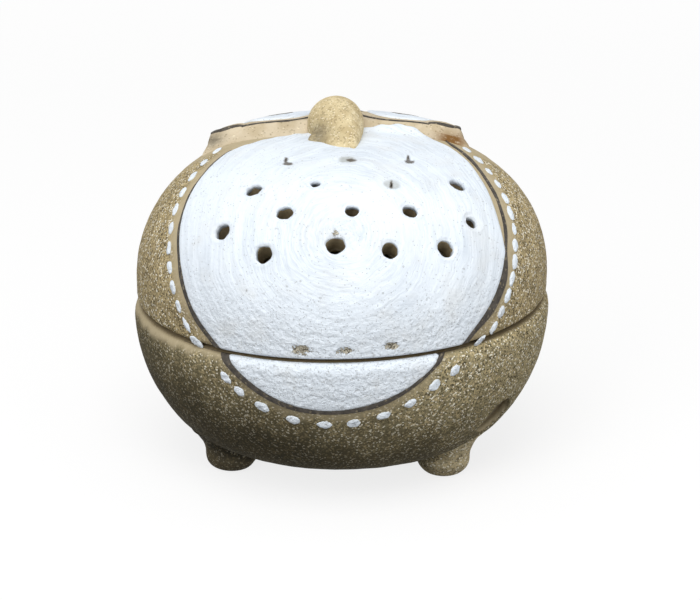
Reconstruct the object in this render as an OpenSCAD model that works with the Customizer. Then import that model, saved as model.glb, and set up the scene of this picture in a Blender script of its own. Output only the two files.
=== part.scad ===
// Owl incense burner: a round stoneware bowl on three feet with a domed, pierced lid.
// Millimetres. +Z is up, the owl's white belly faces -Y and +X is to its viewer's right.
// The origin is on the table, under the middle of the bowl.

/* [Bowl] */
// Height of the seam between bowl and lid above the table
seam_z = 28.5; // [26:0.5:32]
// Greatest radius of the bowl
bowl_r = 36.5; // [35:0.5:40]
// Radius of the curve of the bowl's side
bowl_side_r = 28; // [25:0.5:32]
// Radius of the curve from the side into the underside
bowl_corner_r = 13; // [11:0.5:15]
// Thickness of the walls and of the floor
wall = 4; // [3:0.25:4.5]
// Rounding of the bowl's rim
rim_round = 2; // [1.5:0.25:2.5]
// Diameter of the air hole low in the bowl's side
air_hole_d = 7.5; // [5:0.5:9]
// Height of the air hole's centre above the table
air_hole_z = 11.5; // [11:0.5:15]
// Turn of the air hole from the front, towards the viewer's right
air_hole_turn = 55; // [40:1:80]

/* [Feet] */
// Height of the flat underside above the table
foot_h = 4; // [3:0.5:5.5]
// Set-back of the feet's middles from the bowl's greatest radius
foot_set = 14; // [12:0.5:16]
// Radius of a foot
foot_r = 4.8; // [4:0.2:6]
// Rounding of a foot's lower edge
foot_round = 2.8; // [1.5:0.1:3]

/* [Lid] */
// Set-back of the lid's edge from the bowl's greatest radius
lid_inset = 0.5; // [0:0.25:1]
// Height of the upright skirt under the shoulder
skirt_h = 4; // [4:0.25:6]
// Radius of the shoulder's curve
shoulder_r = 22; // [19:0.5:24]
// Rise of the crown above the top of the shoulder's curve
crown_rise = 1; // [0.75:0.25:2.5]
// Rounding of the lid's lower edge
lid_edge_round = 1; // [0.5:0.1:1.2]

/* [Seat] */
// Height of the bowl's collar above the seam
collar_h = 2.5; // [1.5:0.25:3]
// Thickness of the collar
collar_t = 2; // [1.5:0.25:2.5]
// Thickness of the lid's lip outside the collar
lip_t = 2.4; // [2:0.1:2.8]
// Gap between collar and lip, and above the collar
seat_clearance = 0.4; // [0.3:0.05:0.8]

/* [White belly] */
// Set-back of the belly's round outline from the bowl's greatest radius
belly_set = 9.3; // [8.7:0.1:11]
// Angle above level from which the outline is seen as a circle
belly_tilt = 25; // [20:1:30]
// Shift of the outline's centre up from the middle of the seam
belly_rise = 5.3; // [4:0.1:6]
// Depth of the belly's lower part on the bowl, seen the same way
lower_depth = 7.4; // [6:0.1:9]
// Shift of that lower part towards the viewer's left
lower_shift = 1.2; // [0:0.1:2]
// Thickness of the slip layers
slip_t = 0.4; // [0.3:0.05:0.6]
// Width of the dark line
line_w = 0.8; // [0.5:0.1:1]
// Distance of the dabs' centres from the white edge
dab_off = 1.8; // [1.6:0.1:2.4]
// Length of a dab
dab_len = 2.2; // [1.6:0.1:2.6]
// Width of a dab
dab_w = 1.2; // [0.8:0.1:1.3]
// Distance of the lid's first dabs in front of the head
dab_start = 3.9; // [3:0.1:5]

/* [Smoke holes] */
// Diameter of a smoke hole
hole_d = 3.2; // [2.4:0.1:4]

/* [Head] */
// Distance of the head's front edge behind the middle
head_front = 8.5; // [7:0.5:10]
// Set-back of the head's sides from the lid's radius
head_side_set = 13.75; // [13:0.25:14.5]
// Set-back of the head's rear edge from the lid's radius
head_back_set = 6.5; // [5:0.25:7]
// Rise of the head above the dome
head_rise = 2; // [1.5:0.1:3]
// Rise of the ears above the head
ear_rise = 0.6; // [0.4:0.1:1.2]
// Reach of an ear from the head's front corner
ear_reach = 5; // [3:0.5:5.5]
// Width of the beak
beak_w = 10; // [8.5:0.25:11.5]
// Distance from the middle of the beak's bulb to its tip
beak_len = 11.4; // [9.5:0.2:12]
// Distance of the bulb behind the middle
beak_back = 6.5; // [5:0.5:7]
// Height of the bulb's middle above the crown
beak_lift = 1.3; // [0.5:0.1:2]
// Turn of the tip towards the viewer's right
beak_turn = 10; // [0:1:15]
// Gap between an eye's dark line and the head's side
eye_side_gap = 3.95; // [3.7:0.05:4.5]
// Gap between an eye's dark line and the middle
eye_mid_gap = 3.7; // [3.5:0.1:4.2]
// Gap between an eye's dark line and the head's front edge
eye_front_gap = 1.8; // [1.6:0.1:2.4]
// Radius of a pupil
pupil_r = 2.6; // [1.5:0.1:3.5]

/* [Hidden] */
$fn = 120;

// The feet's turns from the front, as the hand set them
foot_turns = [-59, 52, 178];
// Smoke holes, pierced by hand in four rows: sideways and up in the belly's outline, in parts of its radius
holes = [[-0.465, -0.11], [-0.04, -0.07], [0.285, -0.1], [0.62, -0.08],
         [-0.72, 0.05], [-0.345, 0.145], [0.06, 0.15], [0.41, 0.155], [0.785, 0.1],
         [-0.535, 0.31], [-0.16, 0.34], [0.3, 0.33], [0.71, 0.355],
         [-0.345, 0.51], [0.03, 0.525], [0.42, 0.525]];

big = 90;
lid_r = bowl_r - lid_inset;
lid_h = skirt_h + shoulder_r + crown_rise;
shoulder_c = [lid_r - shoulder_r, skirt_h];
crown_r = (pow(lid_r - shoulder_r, 2) + pow(shoulder_r + crown_rise, 2) - pow(shoulder_r, 2))
          / (2 * crown_rise);
crown_z = lid_h - crown_r;
// Angle at which shoulder and crown meet
crown_turn = atan2(shoulder_c[1] - crown_z, shoulder_c[0]);
crown_meet = shoulder_c[1] + shoulder_r * sin(crown_turn);

// The bowl is widest where the rounding of its rim begins
side_c = [bowl_r - bowl_side_r, seam_z - rim_round];
corner_z = foot_h + bowl_corner_r;
corner_c = [side_c[0] + sqrt(pow(bowl_side_r - bowl_corner_r, 2) - pow(corner_z - side_c[1], 2)), corner_z];
corner_turn = atan2(corner_c[1] - side_c[1], corner_c[0] - side_c[0]);
corner_meet = corner_c[1] + bowl_corner_r * sin(corner_turn);

head_w = 2 * (lid_r - head_side_set);
head_back_r = lid_r - head_back_set;
// Each eye with its dark line fills what the gaps leave of half the head
eye_out = (head_w / 2 - eye_side_gap - eye_mid_gap) / 2;
eye_r = eye_out - line_w;
eye_x = eye_mid_gap + eye_out;
eye_back = head_front + eye_front_gap + eye_out;
foot_ring_r = bowl_r - foot_set;

// Outlines of the belly's two parts in the tilted plane: centre and radius
belly_r = bowl_r - belly_set;
belly_c = [0, belly_rise];
lower_half = 0.66 * belly_r;
lower_sag = lower_depth + (bowl_r - sqrt(pow(bowl_r, 2) - pow(lower_half, 2))) * sin(belly_tilt);
lower_r = (pow(lower_half, 2) + pow(lower_sag, 2)) / (2 * lower_sag);
lower_c = [-lower_shift, lower_r - bowl_r * sin(belly_tilt) - lower_depth];

rebate_r = lid_r - lip_t;
collar_out = rebate_r - seat_clearance;
collar_in = collar_out - collar_t;

// Radius of the closed form's outside at height z
function lid_out(h) = h <= skirt_h ? lid_r
    : h <= crown_meet ? shoulder_c[0] + sqrt(pow(shoulder_r, 2) - pow(h - shoulder_c[1], 2))
    : h < lid_h ? sqrt(pow(crown_r, 2) - pow(h - crown_z, 2)) : 0;
function bowl_out(z) = z >= side_c[1] ? bowl_r
    : z >= corner_meet ? side_c[0] + sqrt(pow(bowl_side_r, 2) - pow(z - side_c[1], 2))
    : z > foot_h ? corner_c[0] + sqrt(pow(bowl_corner_r, 2) - pow(z - corner_c[1], 2)) : 0;
function outside(z) = z > seam_z ? lid_out(z - seam_z) : bowl_out(z);

// Centre of the arc that a point of the outside lies on, as radius and height
function arc_centre(z) = z > seam_z + crown_meet ? [0, seam_z + crown_z]
    : z > seam_z + skirt_h ? [shoulder_c[0], seam_z + shoulder_c[1]]
    : z > side_c[1] ? [0, z]
    : z > corner_meet ? side_c : corner_c;
function unit(a) = a / norm(a);
function normal_at(p) = let (r = norm([p[0], p[1]]), c = arc_centre(p[2]), m = unit([r - c[0], p[2] - c[1]]))
    [m[0] * p[0] / r, m[0] * p[1] / r, m[1]];

// A point of the belly's plane, carried out along the viewing direction to distance t
function sight(u, v, t) = [u, v * sin(belly_tilt) - t * cos(belly_tilt),
                           seam_z + v * cos(belly_tilt) + t * sin(belly_tilt)];
function inside(p) = norm([p[0], p[1]]) < outside(p[2]);
// Halving finds where that line leaves the outside
function leave(u, v, near, far, n) = n == 0 ? sight(u, v, near)
    : let (mid = (near + far) / 2) inside(sight(u, v, mid)) ? leave(u, v, mid, far, n - 1)
    : leave(u, v, near, mid, n - 1);
function on_skin(p) = leave(p[0], p[1], 0, 2 * bowl_r, 24);
function on_outline(centre, radius, angle) = on_skin(centre + radius * [cos(angle), sin(angle)]);
// Halving again finds the angle of the first dab
function head_angle(low, high, n) = n == 0 ? low
    : let (mid = (low + high) / 2) on_outline(belly_c, belly_r + dab_off, mid)[1] > head_front - dab_start
    ? head_angle(low, mid, n - 1) : head_angle(mid, high, n - 1);

// Runs of dabs going round an outline: first and last angle, count and how many times the usual distance out.
// On the lid the first angle is where the outline has come that far in front of the head.
dabs_left = [180 - head_angle(0, 90, 20), 214.8, 12, 1];
dabs_right = [head_angle(0, 90, 20), -30.8, 13, 1];
dabs_front = [223.5, 324.3, 10, 1.3];

// Half section of the lid's outside grown by g, standing on the seam, with its lower edge rounded by e
module lid_half(g, e) {
    top = lid_h + g;
    rr = shoulder_r + g;
    away = [cos(crown_turn), sin(crown_turn)] * 2 * rr;
    difference() {
        intersection() {
            square([lid_r + g, top]);
            translate([0, crown_z])
                circle(crown_r + g, $fn = 1440);
            union() {
                square([lid_r + g, skirt_h]);
                translate(shoulder_c)
                    circle(rr);
                polygon([[0, 0], [shoulder_c[0], 0], shoulder_c, shoulder_c + away, [0, 3 * top]]);
            }
        }
        if (e > 0)
            translate([lid_r + g - e, 0])
                difference() {
                    translate([0, -1])
                        square([e + 1, e + 1]);
                    translate([0, e])
                        circle(e);
                }
    }
}

// Half section of the bowl's outside grown by g, from height low up to the seam plus reach
module bowl_half(g, low, reach, e) {
    rr = bowl_corner_r + g;
    away = [cos(corner_turn), sin(corner_turn)] * 2 * rr;
    difference() {
        union() {
            intersection() {
                translate([0, low])
                    square([bowl_r + g, side_c[1] - low]);
                translate(side_c)
                    circle(bowl_side_r + g);
                union() {
                    translate(corner_c)
                        circle(rr);
                    polygon([[0, 0], [corner_c[0], 0], corner_c, corner_c + away, [big, seam_z], [0, seam_z]]);
                }
            }
            translate([0, side_c[1]])
                square([bowl_r + g, rim_round + reach]);
        }
        if (e > 0)
            translate([bowl_r + g - e, seam_z - e])
                difference() {
                    square([e + 1, e + 1]);
                    circle(e);
                }
    }
}

module lid_solid(g) {
    translate([0, 0, seam_z])
        rotate_extrude()
            lid_half(g, lid_edge_round);
}

module bowl_solid(g) {
    rotate_extrude()
        bowl_half(g, foot_h - g, 0, rim_round);
}

// Things laid on a surface: the layer from height low to height low + thick above the lid or bowl
module lid_layer(low, thick) {
    difference() {
        lid_solid(low + thick);
        lid_solid(low);
    }
}

module bowl_layer(thick) {
    difference() {
        bowl_solid(thick);
        bowl_solid(0);
    }
}

// A drill or a stamp stood on the surface at p
module stand_on(p) {
    n = normal_at(p);
    translate(p)
        rotate([0, acos(n[2]), atan2(n[1], n[0])])
            children();
}

module smoke_holes() {
    for (hole = holes)
        stand_on(on_skin(belly_c + belly_r * hole))
            translate([0, 0, -2 * wall])
                cylinder(d = hole_d, h = 3 * wall);
}

// Prism of the belly's outline, looking along the tilted direction
module belly_prism(centre, radius) {
    translate([0, 0, seam_z])
        rotate([90 - belly_tilt, 0, 0])
            translate([centre[0], centre[1], 0])
                cylinder(r = radius, h = big);
}

// The dark line's outline around the same
module line_prism(centre, radius) {
    difference() {
        belly_prism(centre, radius + line_w);
        belly_prism(centre, radius);
    }
}

module front_of_head() {
    translate([-big, head_front - 2 * big, 0])
        cube([2 * big, 2 * big, big]);
}

// The beak as a round teardrop before it is trimmed to the dome and the head
module beak_body() {
    bulb = beak_w / 2;
    lean = asin(bulb / beak_len);
    translate([-beak_len * sin(beak_turn) / 2, beak_back, seam_z + lid_h + beak_lift])
        rotate([93, 0, beak_turn])
            rotate_extrude()
                intersection() {
                    translate([0, -big])
                        square([big, 2 * big]);
                    union() {
                        circle(bulb);
                        polygon([[0, 0], [bulb * cos(lean), bulb * sin(lean)], [0, beak_len]]);
                    }
                }
}

// One dab's outline, long in the direction of the line it follows
module dab_stamp(centre, radius, at) {
    p = on_outline(centre, radius, at);
    n = normal_at(p);
    ahead = on_outline(centre, radius, at + 1) - on_outline(centre, radius, at - 1);
    t = unit(ahead - (ahead * n) * n);
    b = cross(n, t);
    straight = dab_len - dab_w;
    multmatrix([[t[0], b[0], n[0], p[0]], [t[1], b[1], n[1], p[1]], [t[2], b[2], n[2], p[2]], [0, 0, 0, 1]])
        translate([0, 0, -wall / 2])
            linear_extrude(wall)
                union() {
                    square([straight, dab_w], center = true);
                    translate([straight / 2, 0])
                        circle(d = dab_w);
                    translate([-straight / 2, 0])
                        circle(d = dab_w);
                }
}

module dab_run(run, centre, radius) {
    step = (run[1] - run[0]) / (run[2] - 1);
    for (i = [0:run[2] - 1])
        dab_stamp(centre, radius + dab_off * run[3], run[0] + i * step);
}

module head_outline() {
    intersection() {
        circle(head_back_r);
        translate([-head_w / 2, head_front])
            square([head_w, big]);
    }
}

module foot(turn) {
    // The blank reaches into the bowl, whose outside trims it
    difference() {
        translate([foot_ring_r * sin(turn), -foot_ring_r * cos(turn), 0])
            rotate_extrude()
                union() {
                    translate([0, foot_round])
                        square([foot_r, 2 * foot_h]);
                    square([foot_r - foot_round, foot_round]);
                    intersection() {
                        translate([foot_r - foot_round, foot_round])
                            circle(foot_round);
                        square([foot_r, foot_round]);
                    }
                }
        bowl_solid(0);
    }
}

module ear(side) {
    intersection() {
        lid_layer(head_rise, ear_rise);
        linear_extrude(big)
            intersection() {
                head_outline();
                translate([side * head_w / 2, head_front])
                    circle(ear_reach);
            }
    }
}

module eye_layer(side, inner, outer, low, thick) {
    intersection() {
        lid_layer(head_rise + low, thick);
        translate([side * eye_x, eye_back, 0])
            difference() {
                cylinder(r = outer, h = big);
                if (inner > 0)
                    cylinder(r = inner, h = 3 * big, center = true);
            }
    }
}

module base_bowl() {
    air_r = bowl_out(air_hole_z);
    color([0.42, 0.31, 0.18])
        difference() {
            rotate_extrude()
                union() {
                    difference() {
                        bowl_half(0, foot_h, 0, rim_round);
                        bowl_half(-wall, foot_h + wall, 1, 0);
                    }
                    polygon([[collar_out, seam_z - collar_h - collar_t], [collar_out, seam_z + collar_h],
                             [collar_in, seam_z + collar_h], [collar_in, seam_z - collar_h]]);
                }
            stand_on([air_r * sin(air_hole_turn), -air_r * cos(air_hole_turn), air_hole_z])
                translate([0, 0, -2 * wall])
                    cylinder(d = air_hole_d, h = 3 * wall);
        }
}

module foot_left() {
    color([0.5, 0.39, 0.24])
        foot(foot_turns[0]);
}

module foot_right() {
    color([0.5, 0.39, 0.24])
        foot(foot_turns[1]);
}

module foot_rear() {
    color([0.5, 0.39, 0.24])
        foot(foot_turns[2]);
}

module belly_slip_base() {
    color([0.88, 0.89, 0.9])
        intersection() {
            bowl_layer(slip_t);
            belly_prism(lower_c, lower_r);
        }
}

module belly_line_base() {
    color([0.2, 0.16, 0.14])
        intersection() {
            bowl_layer(slip_t);
            line_prism(lower_c, lower_r);
        }
}

module dabs_base() {
    color([0.88, 0.89, 0.9])
        intersection() {
            bowl_layer(slip_t);
            dab_run(dabs_front, lower_c, lower_r);
        }
}

module lid_shell() {
    color([0.55, 0.41, 0.22])
        difference() {
            translate([0, 0, seam_z])
                rotate_extrude()
                    difference() {
                        lid_half(0, lid_edge_round);
                        lid_half(-wall, 0);
                        square([rebate_r, collar_h + seat_clearance]);
                    }
            smoke_holes();
        }
}

module head_pad() {
    color([0.62, 0.49, 0.29])
        difference() {
            intersection() {
                lid_layer(0, head_rise);
                linear_extrude(big)
                    head_outline();
            }
            beak_body();
        }
}

module ear_left() {
    color([0.62, 0.49, 0.29])
        ear(-1);
}

module ear_right() {
    color([0.62, 0.49, 0.29])
        ear(1);
}

module beak() {
    color([0.62, 0.48, 0.27])
        difference() {
            beak_body();
            lid_solid(0);
        }
}

module eye_left() {
    color([0.88, 0.89, 0.9])
        eye_layer(-1, 0, eye_r, 0, slip_t);
}

module eye_right() {
    color([0.88, 0.89, 0.9])
        eye_layer(1, 0, eye_r, 0, slip_t);
}

module eye_line_left() {
    color([0.2, 0.16, 0.14])
        eye_layer(-1, eye_r, eye_r + line_w, 0, slip_t);
}

module eye_line_right() {
    color([0.2, 0.16, 0.14])
        eye_layer(1, eye_r, eye_r + line_w, 0, slip_t);
}

module pupil_left() {
    color([0.2, 0.16, 0.14])
        eye_layer(-1, 0, pupil_r, slip_t, slip_t);
}

module pupil_right() {
    color([0.2, 0.16, 0.14])
        eye_layer(1, 0, pupil_r, slip_t, slip_t);
}

module belly_slip_lid() {
    color([0.88, 0.89, 0.9])
        difference() {
            intersection() {
                lid_layer(0, slip_t);
                belly_prism(belly_c, belly_r);
                front_of_head();
            }
            smoke_holes();
            beak_body();
        }
}

module belly_line_lid() {
    color([0.2, 0.16, 0.14])
        intersection() {
            lid_layer(0, slip_t);
            line_prism(belly_c, belly_r);
            front_of_head();
        }
}

module dabs_lid() {
    color([0.88, 0.89, 0.9])
        intersection() {
            lid_layer(0, slip_t);
            union() {
                dab_run(dabs_left, belly_c, belly_r);
                dab_run(dabs_right, belly_c, belly_r);
            }
        }
}

base_bowl();
foot_left();
foot_right();
foot_rear();
belly_slip_base();
belly_line_base();
dabs_base();
lid_shell();
head_pad();
ear_left();
ear_right();
beak();
eye_left();
eye_right();
eye_line_left();
eye_line_right();
pupil_left();
pupil_right();
belly_slip_lid();
belly_line_lid();
dabs_lid();
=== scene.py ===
# %% [markdown]
# # An owl incense burner in stoneware
# The burner is a round bowl on three lumps of feet with a domed lid that lifts off. Seen from above
# it is an owl: a white belly painted over the front, a beak, a low head and two white eyes. This
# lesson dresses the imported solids, which stay the fixed frame: they give the sizes, and every piece
# made here takes the place of one or more of them and moves with the same body.

import itertools
import math

import bmesh
import bpy
import numpy as np
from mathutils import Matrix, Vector


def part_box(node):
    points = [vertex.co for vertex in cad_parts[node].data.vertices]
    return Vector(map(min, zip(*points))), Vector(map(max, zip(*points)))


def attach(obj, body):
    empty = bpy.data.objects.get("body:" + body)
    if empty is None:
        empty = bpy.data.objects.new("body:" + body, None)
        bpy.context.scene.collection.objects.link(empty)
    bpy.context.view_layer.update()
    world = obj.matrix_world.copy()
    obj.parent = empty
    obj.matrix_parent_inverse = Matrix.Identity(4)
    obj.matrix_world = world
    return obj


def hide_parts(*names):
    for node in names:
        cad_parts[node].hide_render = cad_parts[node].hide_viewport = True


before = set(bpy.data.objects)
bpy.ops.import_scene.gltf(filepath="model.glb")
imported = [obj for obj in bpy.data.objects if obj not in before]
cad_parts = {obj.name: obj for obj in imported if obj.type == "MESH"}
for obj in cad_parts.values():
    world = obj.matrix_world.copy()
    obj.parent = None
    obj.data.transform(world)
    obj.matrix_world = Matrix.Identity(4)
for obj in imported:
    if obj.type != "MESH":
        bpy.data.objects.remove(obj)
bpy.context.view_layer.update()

# %% [markdown]
# ## Sizes
# A potter measures in millimetres, and Blender's scene is in metres. All shapes below are worked out
# in millimetres and scaled once, when a mesh is made. What the solids' boxes tell is read from them;
# the curves in between repeat the part's own driving sizes. Only the lid's soft lower edge and the
# slit that it leaves at the seam belong to the looks alone.

# %% Sizes of bowl and lid
MM = 0.001
QUARTER = math.pi / 2
FULL_TURN = 2 * math.pi


def corner(node, high, axis):
    """One side of a solid's box in millimetres."""
    return round(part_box(node)[high][axis] / MM, 2)


SEAM_Z = corner("lid_shell", 0, 2)
CROWN_TOP = corner("lid_shell", 1, 2)
BOWL_R = corner("base_bowl", 1, 0)
LID_R = corner("lid_shell", 1, 0)
FOOT_H = corner("base_bowl", 0, 2)
WALL = 4.0
SKIRT_H = 4.0
SHOULDER_R = 22.0
LID_EDGE = 0.7
SEAM_SLIT = 0.38
RIM_ROUND = 2.0
SIDE_R = 28.0
CORNER_R = 13.0
COLLAR_H = 2.5
COLLAR_OUT = 33.2
COLLAR_IN = 31.2
REBATE_R = 33.6
SEAT_GAP = 0.4

LID_H = CROWN_TOP - SEAM_Z
SHOULDER_C = (LID_R - SHOULDER_R, SKIRT_H)
DOME_H = LID_H - SKIRT_H
CROWN_R = (SHOULDER_C[0] ** 2 + DOME_H ** 2 - SHOULDER_R ** 2) / (2 * (DOME_H - SHOULDER_R))
CROWN_Z = LID_H - CROWN_R
CROWN_TURN = math.atan2(SKIRT_H - CROWN_Z, SHOULDER_C[0])
CROWN_MEET = SKIRT_H + SHOULDER_R * math.sin(CROWN_TURN)
SIDE_C = (BOWL_R - SIDE_R, SEAM_Z - RIM_ROUND)
CORNER_Z = FOOT_H + CORNER_R
CORNER_X = SIDE_C[0] + math.sqrt((SIDE_R - CORNER_R) ** 2 - (CORNER_Z - SIDE_C[1]) ** 2)
CORNER_TURN = math.atan2(CORNER_Z - SIDE_C[1], CORNER_X - SIDE_C[0])
CORNER_MEET = CORNER_Z + CORNER_R * math.sin(CORNER_TURN)
print("bowl", BOWL_R, "lid", LID_R, "seam", SEAM_Z, "crown", CROWN_TOP)

# %% [markdown]
# ## The outside as a formula
# Slip, lines, dabs and head all lie on the clay, so they need to know where its outside is. The
# section is a chain of arcs, which makes this a short formula: the radius at a height, and the
# direction that points straight out. A ray cast onto the mesh would do as well, but a formula has no
# facets. The belly's outline is a circle for someone who looks down on the owl's front, so points
# are found by following that line of sight until it leaves the clay.

# %% Radius and outward direction
BELLY_TILT = math.radians(25)
SIGHT = np.array([0, -math.cos(BELLY_TILT), math.sin(BELLY_TILT)])
UP_BELLY = np.array([0, math.sin(BELLY_TILT), math.cos(BELLY_TILT)])
HALVINGS = 30
TINY = 1e-6


def outside_radius(z):
    """Radius of the closed form at height z, before the edges at the seam are rounded."""
    h = z - SEAM_Z
    shoulder = SHOULDER_C[0] + np.sqrt(np.clip(SHOULDER_R ** 2 - (h - SKIRT_H) ** 2, 0, None))
    crown = np.sqrt(np.clip(CROWN_R ** 2 - (h - CROWN_Z) ** 2, 0, None))
    lid = np.where(h <= SKIRT_H, LID_R, np.where(h <= CROWN_MEET, shoulder, crown))
    side = SIDE_C[0] + np.sqrt(np.clip(SIDE_R ** 2 - (z - SIDE_C[1]) ** 2, 0, None))
    low = CORNER_X + np.sqrt(np.clip(CORNER_R ** 2 - (z - CORNER_Z) ** 2, 0, None))
    bowl = np.where(z >= SIDE_C[1], BOWL_R, np.where(z >= CORNER_MEET, side, low))
    return np.where(h > 0, np.where(h < LID_H, lid, 0), np.where(z > FOOT_H, bowl, 0))


def arc_centre(z):
    """Centre of the arc at height z, as radius and height."""
    h = z - SEAM_Z
    radius = np.select([h > CROWN_MEET, h > SKIRT_H, z > SIDE_C[1], z > CORNER_MEET],
                       [0, SHOULDER_C[0], 0, SIDE_C[0]], CORNER_X)
    height = np.select([h > CROWN_MEET, h > SKIRT_H, z > SIDE_C[1], z > CORNER_MEET],
                       [SEAM_Z + CROWN_Z, SEAM_Z + SKIRT_H, z, SIDE_C[1]], CORNER_Z)
    return radius, height


def turned(r, z, like):
    """Carries radius and height out in the direction of the points they belong to."""
    flat = np.maximum(np.hypot(like[..., 0], like[..., 1]), TINY)
    return np.stack([r * like[..., 0] / flat, r * like[..., 1] / flat, z], axis=-1)


def outward(points):
    """Direction straight out of the clay at points of its outside."""
    r = np.hypot(points[..., 0], points[..., 1])
    centre_r, centre_z = arc_centre(points[..., 2])
    dr = r - centre_r
    dz = points[..., 2] - centre_z
    size = np.maximum(np.hypot(dr, dz), TINY)
    return turned(dr / size, dz / size, points)


print("radius at the seam", float(outside_radius(np.array(SEAM_Z))))


# %% Along the line of sight
def round_edges(points, normals):
    """Rounds the lid's lower edge and the bowl's rim where they meet at the seam."""
    z = points[..., 2]
    for centre_r, centre_z, size, here in (
            (LID_R - LID_EDGE, SEAM_Z + LID_EDGE, LID_EDGE, (z > SEAM_Z) & (z < SEAM_Z + LID_EDGE)),
            (BOWL_R - RIM_ROUND, SIDE_C[1], RIM_ROUND, (z > SIDE_C[1]) & (z <= SEAM_Z))):
        dz = np.clip(z - centre_z, -size, size)
        dr = np.sqrt(size ** 2 - dz ** 2)
        points = np.where(here[..., None], turned(centre_r + dr, z, points), points)
        normals = np.where(here[..., None], turned(dr / size, dz / size, points), normals)
    return points, normals


def skin(u, v):
    """Where the line of sight through (u, v) of the belly's plane leaves the clay, and the way out there."""
    start = np.stack([u, 0 * u, SEAM_Z + 0 * u], axis=-1) + v[..., None] * UP_BELLY
    near = np.zeros_like(u)
    far = np.full_like(u, 2 * BOWL_R)
    for _ in range(HALVINGS):
        mid = (near + far) / 2
        tried = start + mid[..., None] * SIGHT
        within = np.hypot(tried[..., 0], tried[..., 1]) < outside_radius(tried[..., 2])
        near = np.where(within, mid, near)
        far = np.where(within, far, mid)
    points = start + near[..., None] * SIGHT
    return round_edges(points, outward(points))


def dome(x, y):
    """The lid's outside straight above (x, y), and the way out there."""
    r = np.hypot(x, y)
    meet = SHOULDER_C[0] + SHOULDER_R * math.cos(CROWN_TURN)
    shoulder = SKIRT_H + np.sqrt(np.clip(SHOULDER_R ** 2 - (r - SHOULDER_C[0]) ** 2, 0, None))
    crown = CROWN_Z + np.sqrt(np.clip(CROWN_R ** 2 - r ** 2, 0, None))
    points = np.stack([x, y, SEAM_Z + np.where(r < meet, crown, shoulder)], axis=-1)
    return points, outward(points)


front = skin(np.array([0.0]), np.array([0.0]))[0][0]
print("middle of the belly leaves the clay at", np.round(front, 2))

# %% [markdown]
# ## A hand's unevenness
# Nothing on a pinched and thrown pot is exact. One gentle wave goes through the whole object, bowl,
# lid and everything on them, so that layers stay on the clay they were painted on. A Displace
# modifier on each piece would push each along its own normals; moving the points by one formula
# keeps them together. The seam also leans a little, as it does on the real burner. Noise is made
# from a table of random numbers with a fixed seed, so the same pot comes out each time.

# %% Noise and the common wave
TABLE_SIZE = 32
FAR_OFF = 500
WAVE_SIZE = 21.0
WAVE_DEPTH = 0.16
DRAWN_IN = 0.006
SEAM_LEAN = 0.021


def ripple(points, size, seed):
    """Smooth noise from -1 to 1 with bumps about that size."""
    table = np.random.default_rng(seed).uniform(-1, 1, (TABLE_SIZE,) * 3)
    stretched = points / size + FAR_OFF
    cell = np.floor(stretched).astype(int)
    part = stretched - cell
    part = part * part * (3 - 2 * part)
    total = np.zeros(points.shape[:-1])
    for step in itertools.product((0, 1), repeat=3):
        weight = np.prod(np.where(np.array(step) == 1, part, 1 - part), axis=-1)
        i, j, k = np.moveaxis((cell + step) % TABLE_SIZE, -1, 0)
        total += weight * table[i, j, k]
    return total


def by_hand(points):
    """The wave and the leaning seam, the same for every piece."""
    moved = points.copy()
    ease = np.sin(np.pi * np.clip(points[..., 2] / CROWN_TOP, 0, 1))
    wave = WAVE_DEPTH * ripple(points, WAVE_SIZE, 1) * ease
    scale = 1 - DRAWN_IN + wave / BOWL_R
    moved[..., 0] *= scale
    moved[..., 1] *= scale
    moved[..., 2] += SEAM_LEAN * points[..., 0] * ease
    return moved


def smooth_step(low, high, value):
    """From 0 at low to 1 at high, with soft ends."""
    part = np.clip((value - low) / (high - low), 0, 1)
    return part * part * (3 - 2 * part)


print("wave up to", WAVE_DEPTH, "mm, seam leaning", round(SEAM_LEAN * 2 * LID_R, 2), "mm over its width")

# %% [markdown]
# ## Small tools
# Most pieces here are lofts: a row of closed sections that are joined up and capped at both ends. A
# curve with a bevel could make some of them, but in a loft every section may have its own form.
# Points come from numpy, so whole grids are worked out at once. Materials are node graphs; one small
# function adds a node, sets its options and fills or wires its sockets.

# %% Meshes from sections
DOUBLE = 0.002


def new_piece(name, points, faces):
    """A mesh object at the origin from points in millimetres."""
    mesh = bpy.data.meshes.new(name)
    mesh.from_pydata((points * MM).tolist(), [], faces)
    piece = bpy.data.objects.new(name, mesh)
    bpy.context.scene.collection.objects.link(piece)
    return piece


def tidy(piece):
    """Merges doubles, drops points on only two edges, turns faces outwards and shades smooth."""
    work = bmesh.new()
    work.from_mesh(piece.data)
    bmesh.ops.remove_doubles(work, verts=work.verts, dist=DOUBLE * MM)
    bmesh.ops.dissolve_degenerate(work, edges=work.edges, dist=DOUBLE * MM)
    idle = [point for point in work.verts if len(point.link_edges) == 2]
    bmesh.ops.dissolve_verts(work, verts=idle)
    bmesh.ops.recalc_face_normals(work, faces=work.faces)
    work.to_mesh(piece.data)
    work.free()
    piece.data.polygons.foreach_set("use_smooth", [True] * len(piece.data.polygons))
    return piece


def loft(name, sections, ring=False):
    """Joins closed sections (count, points, 3) into one closed piece; a ring also joins last to first."""
    count, around = sections.shape[:2]
    points = sections.reshape(-1, 3)
    faces = []
    for i in range(count if ring else count - 1):
        ahead = (i + 1) % count
        for j in range(around):
            beside = (j + 1) % around
            faces.append((i * around + j, i * around + beside, ahead * around + beside, ahead * around + j))
    if not ring:
        ends = np.array([sections[0].mean(axis=0), sections[-1].mean(axis=0)])
        points = np.concatenate([points, ends])
        last = (count - 1) * around
        for j in range(around):
            beside = (j + 1) % around
            faces.append((count * around, beside, j))
            faces.append((count * around + 1, last + j, last + beside))
    return tidy(new_piece(name, points, faces))


print("sections can be lofted; doubles closer than", DOUBLE, "mm merge")


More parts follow.
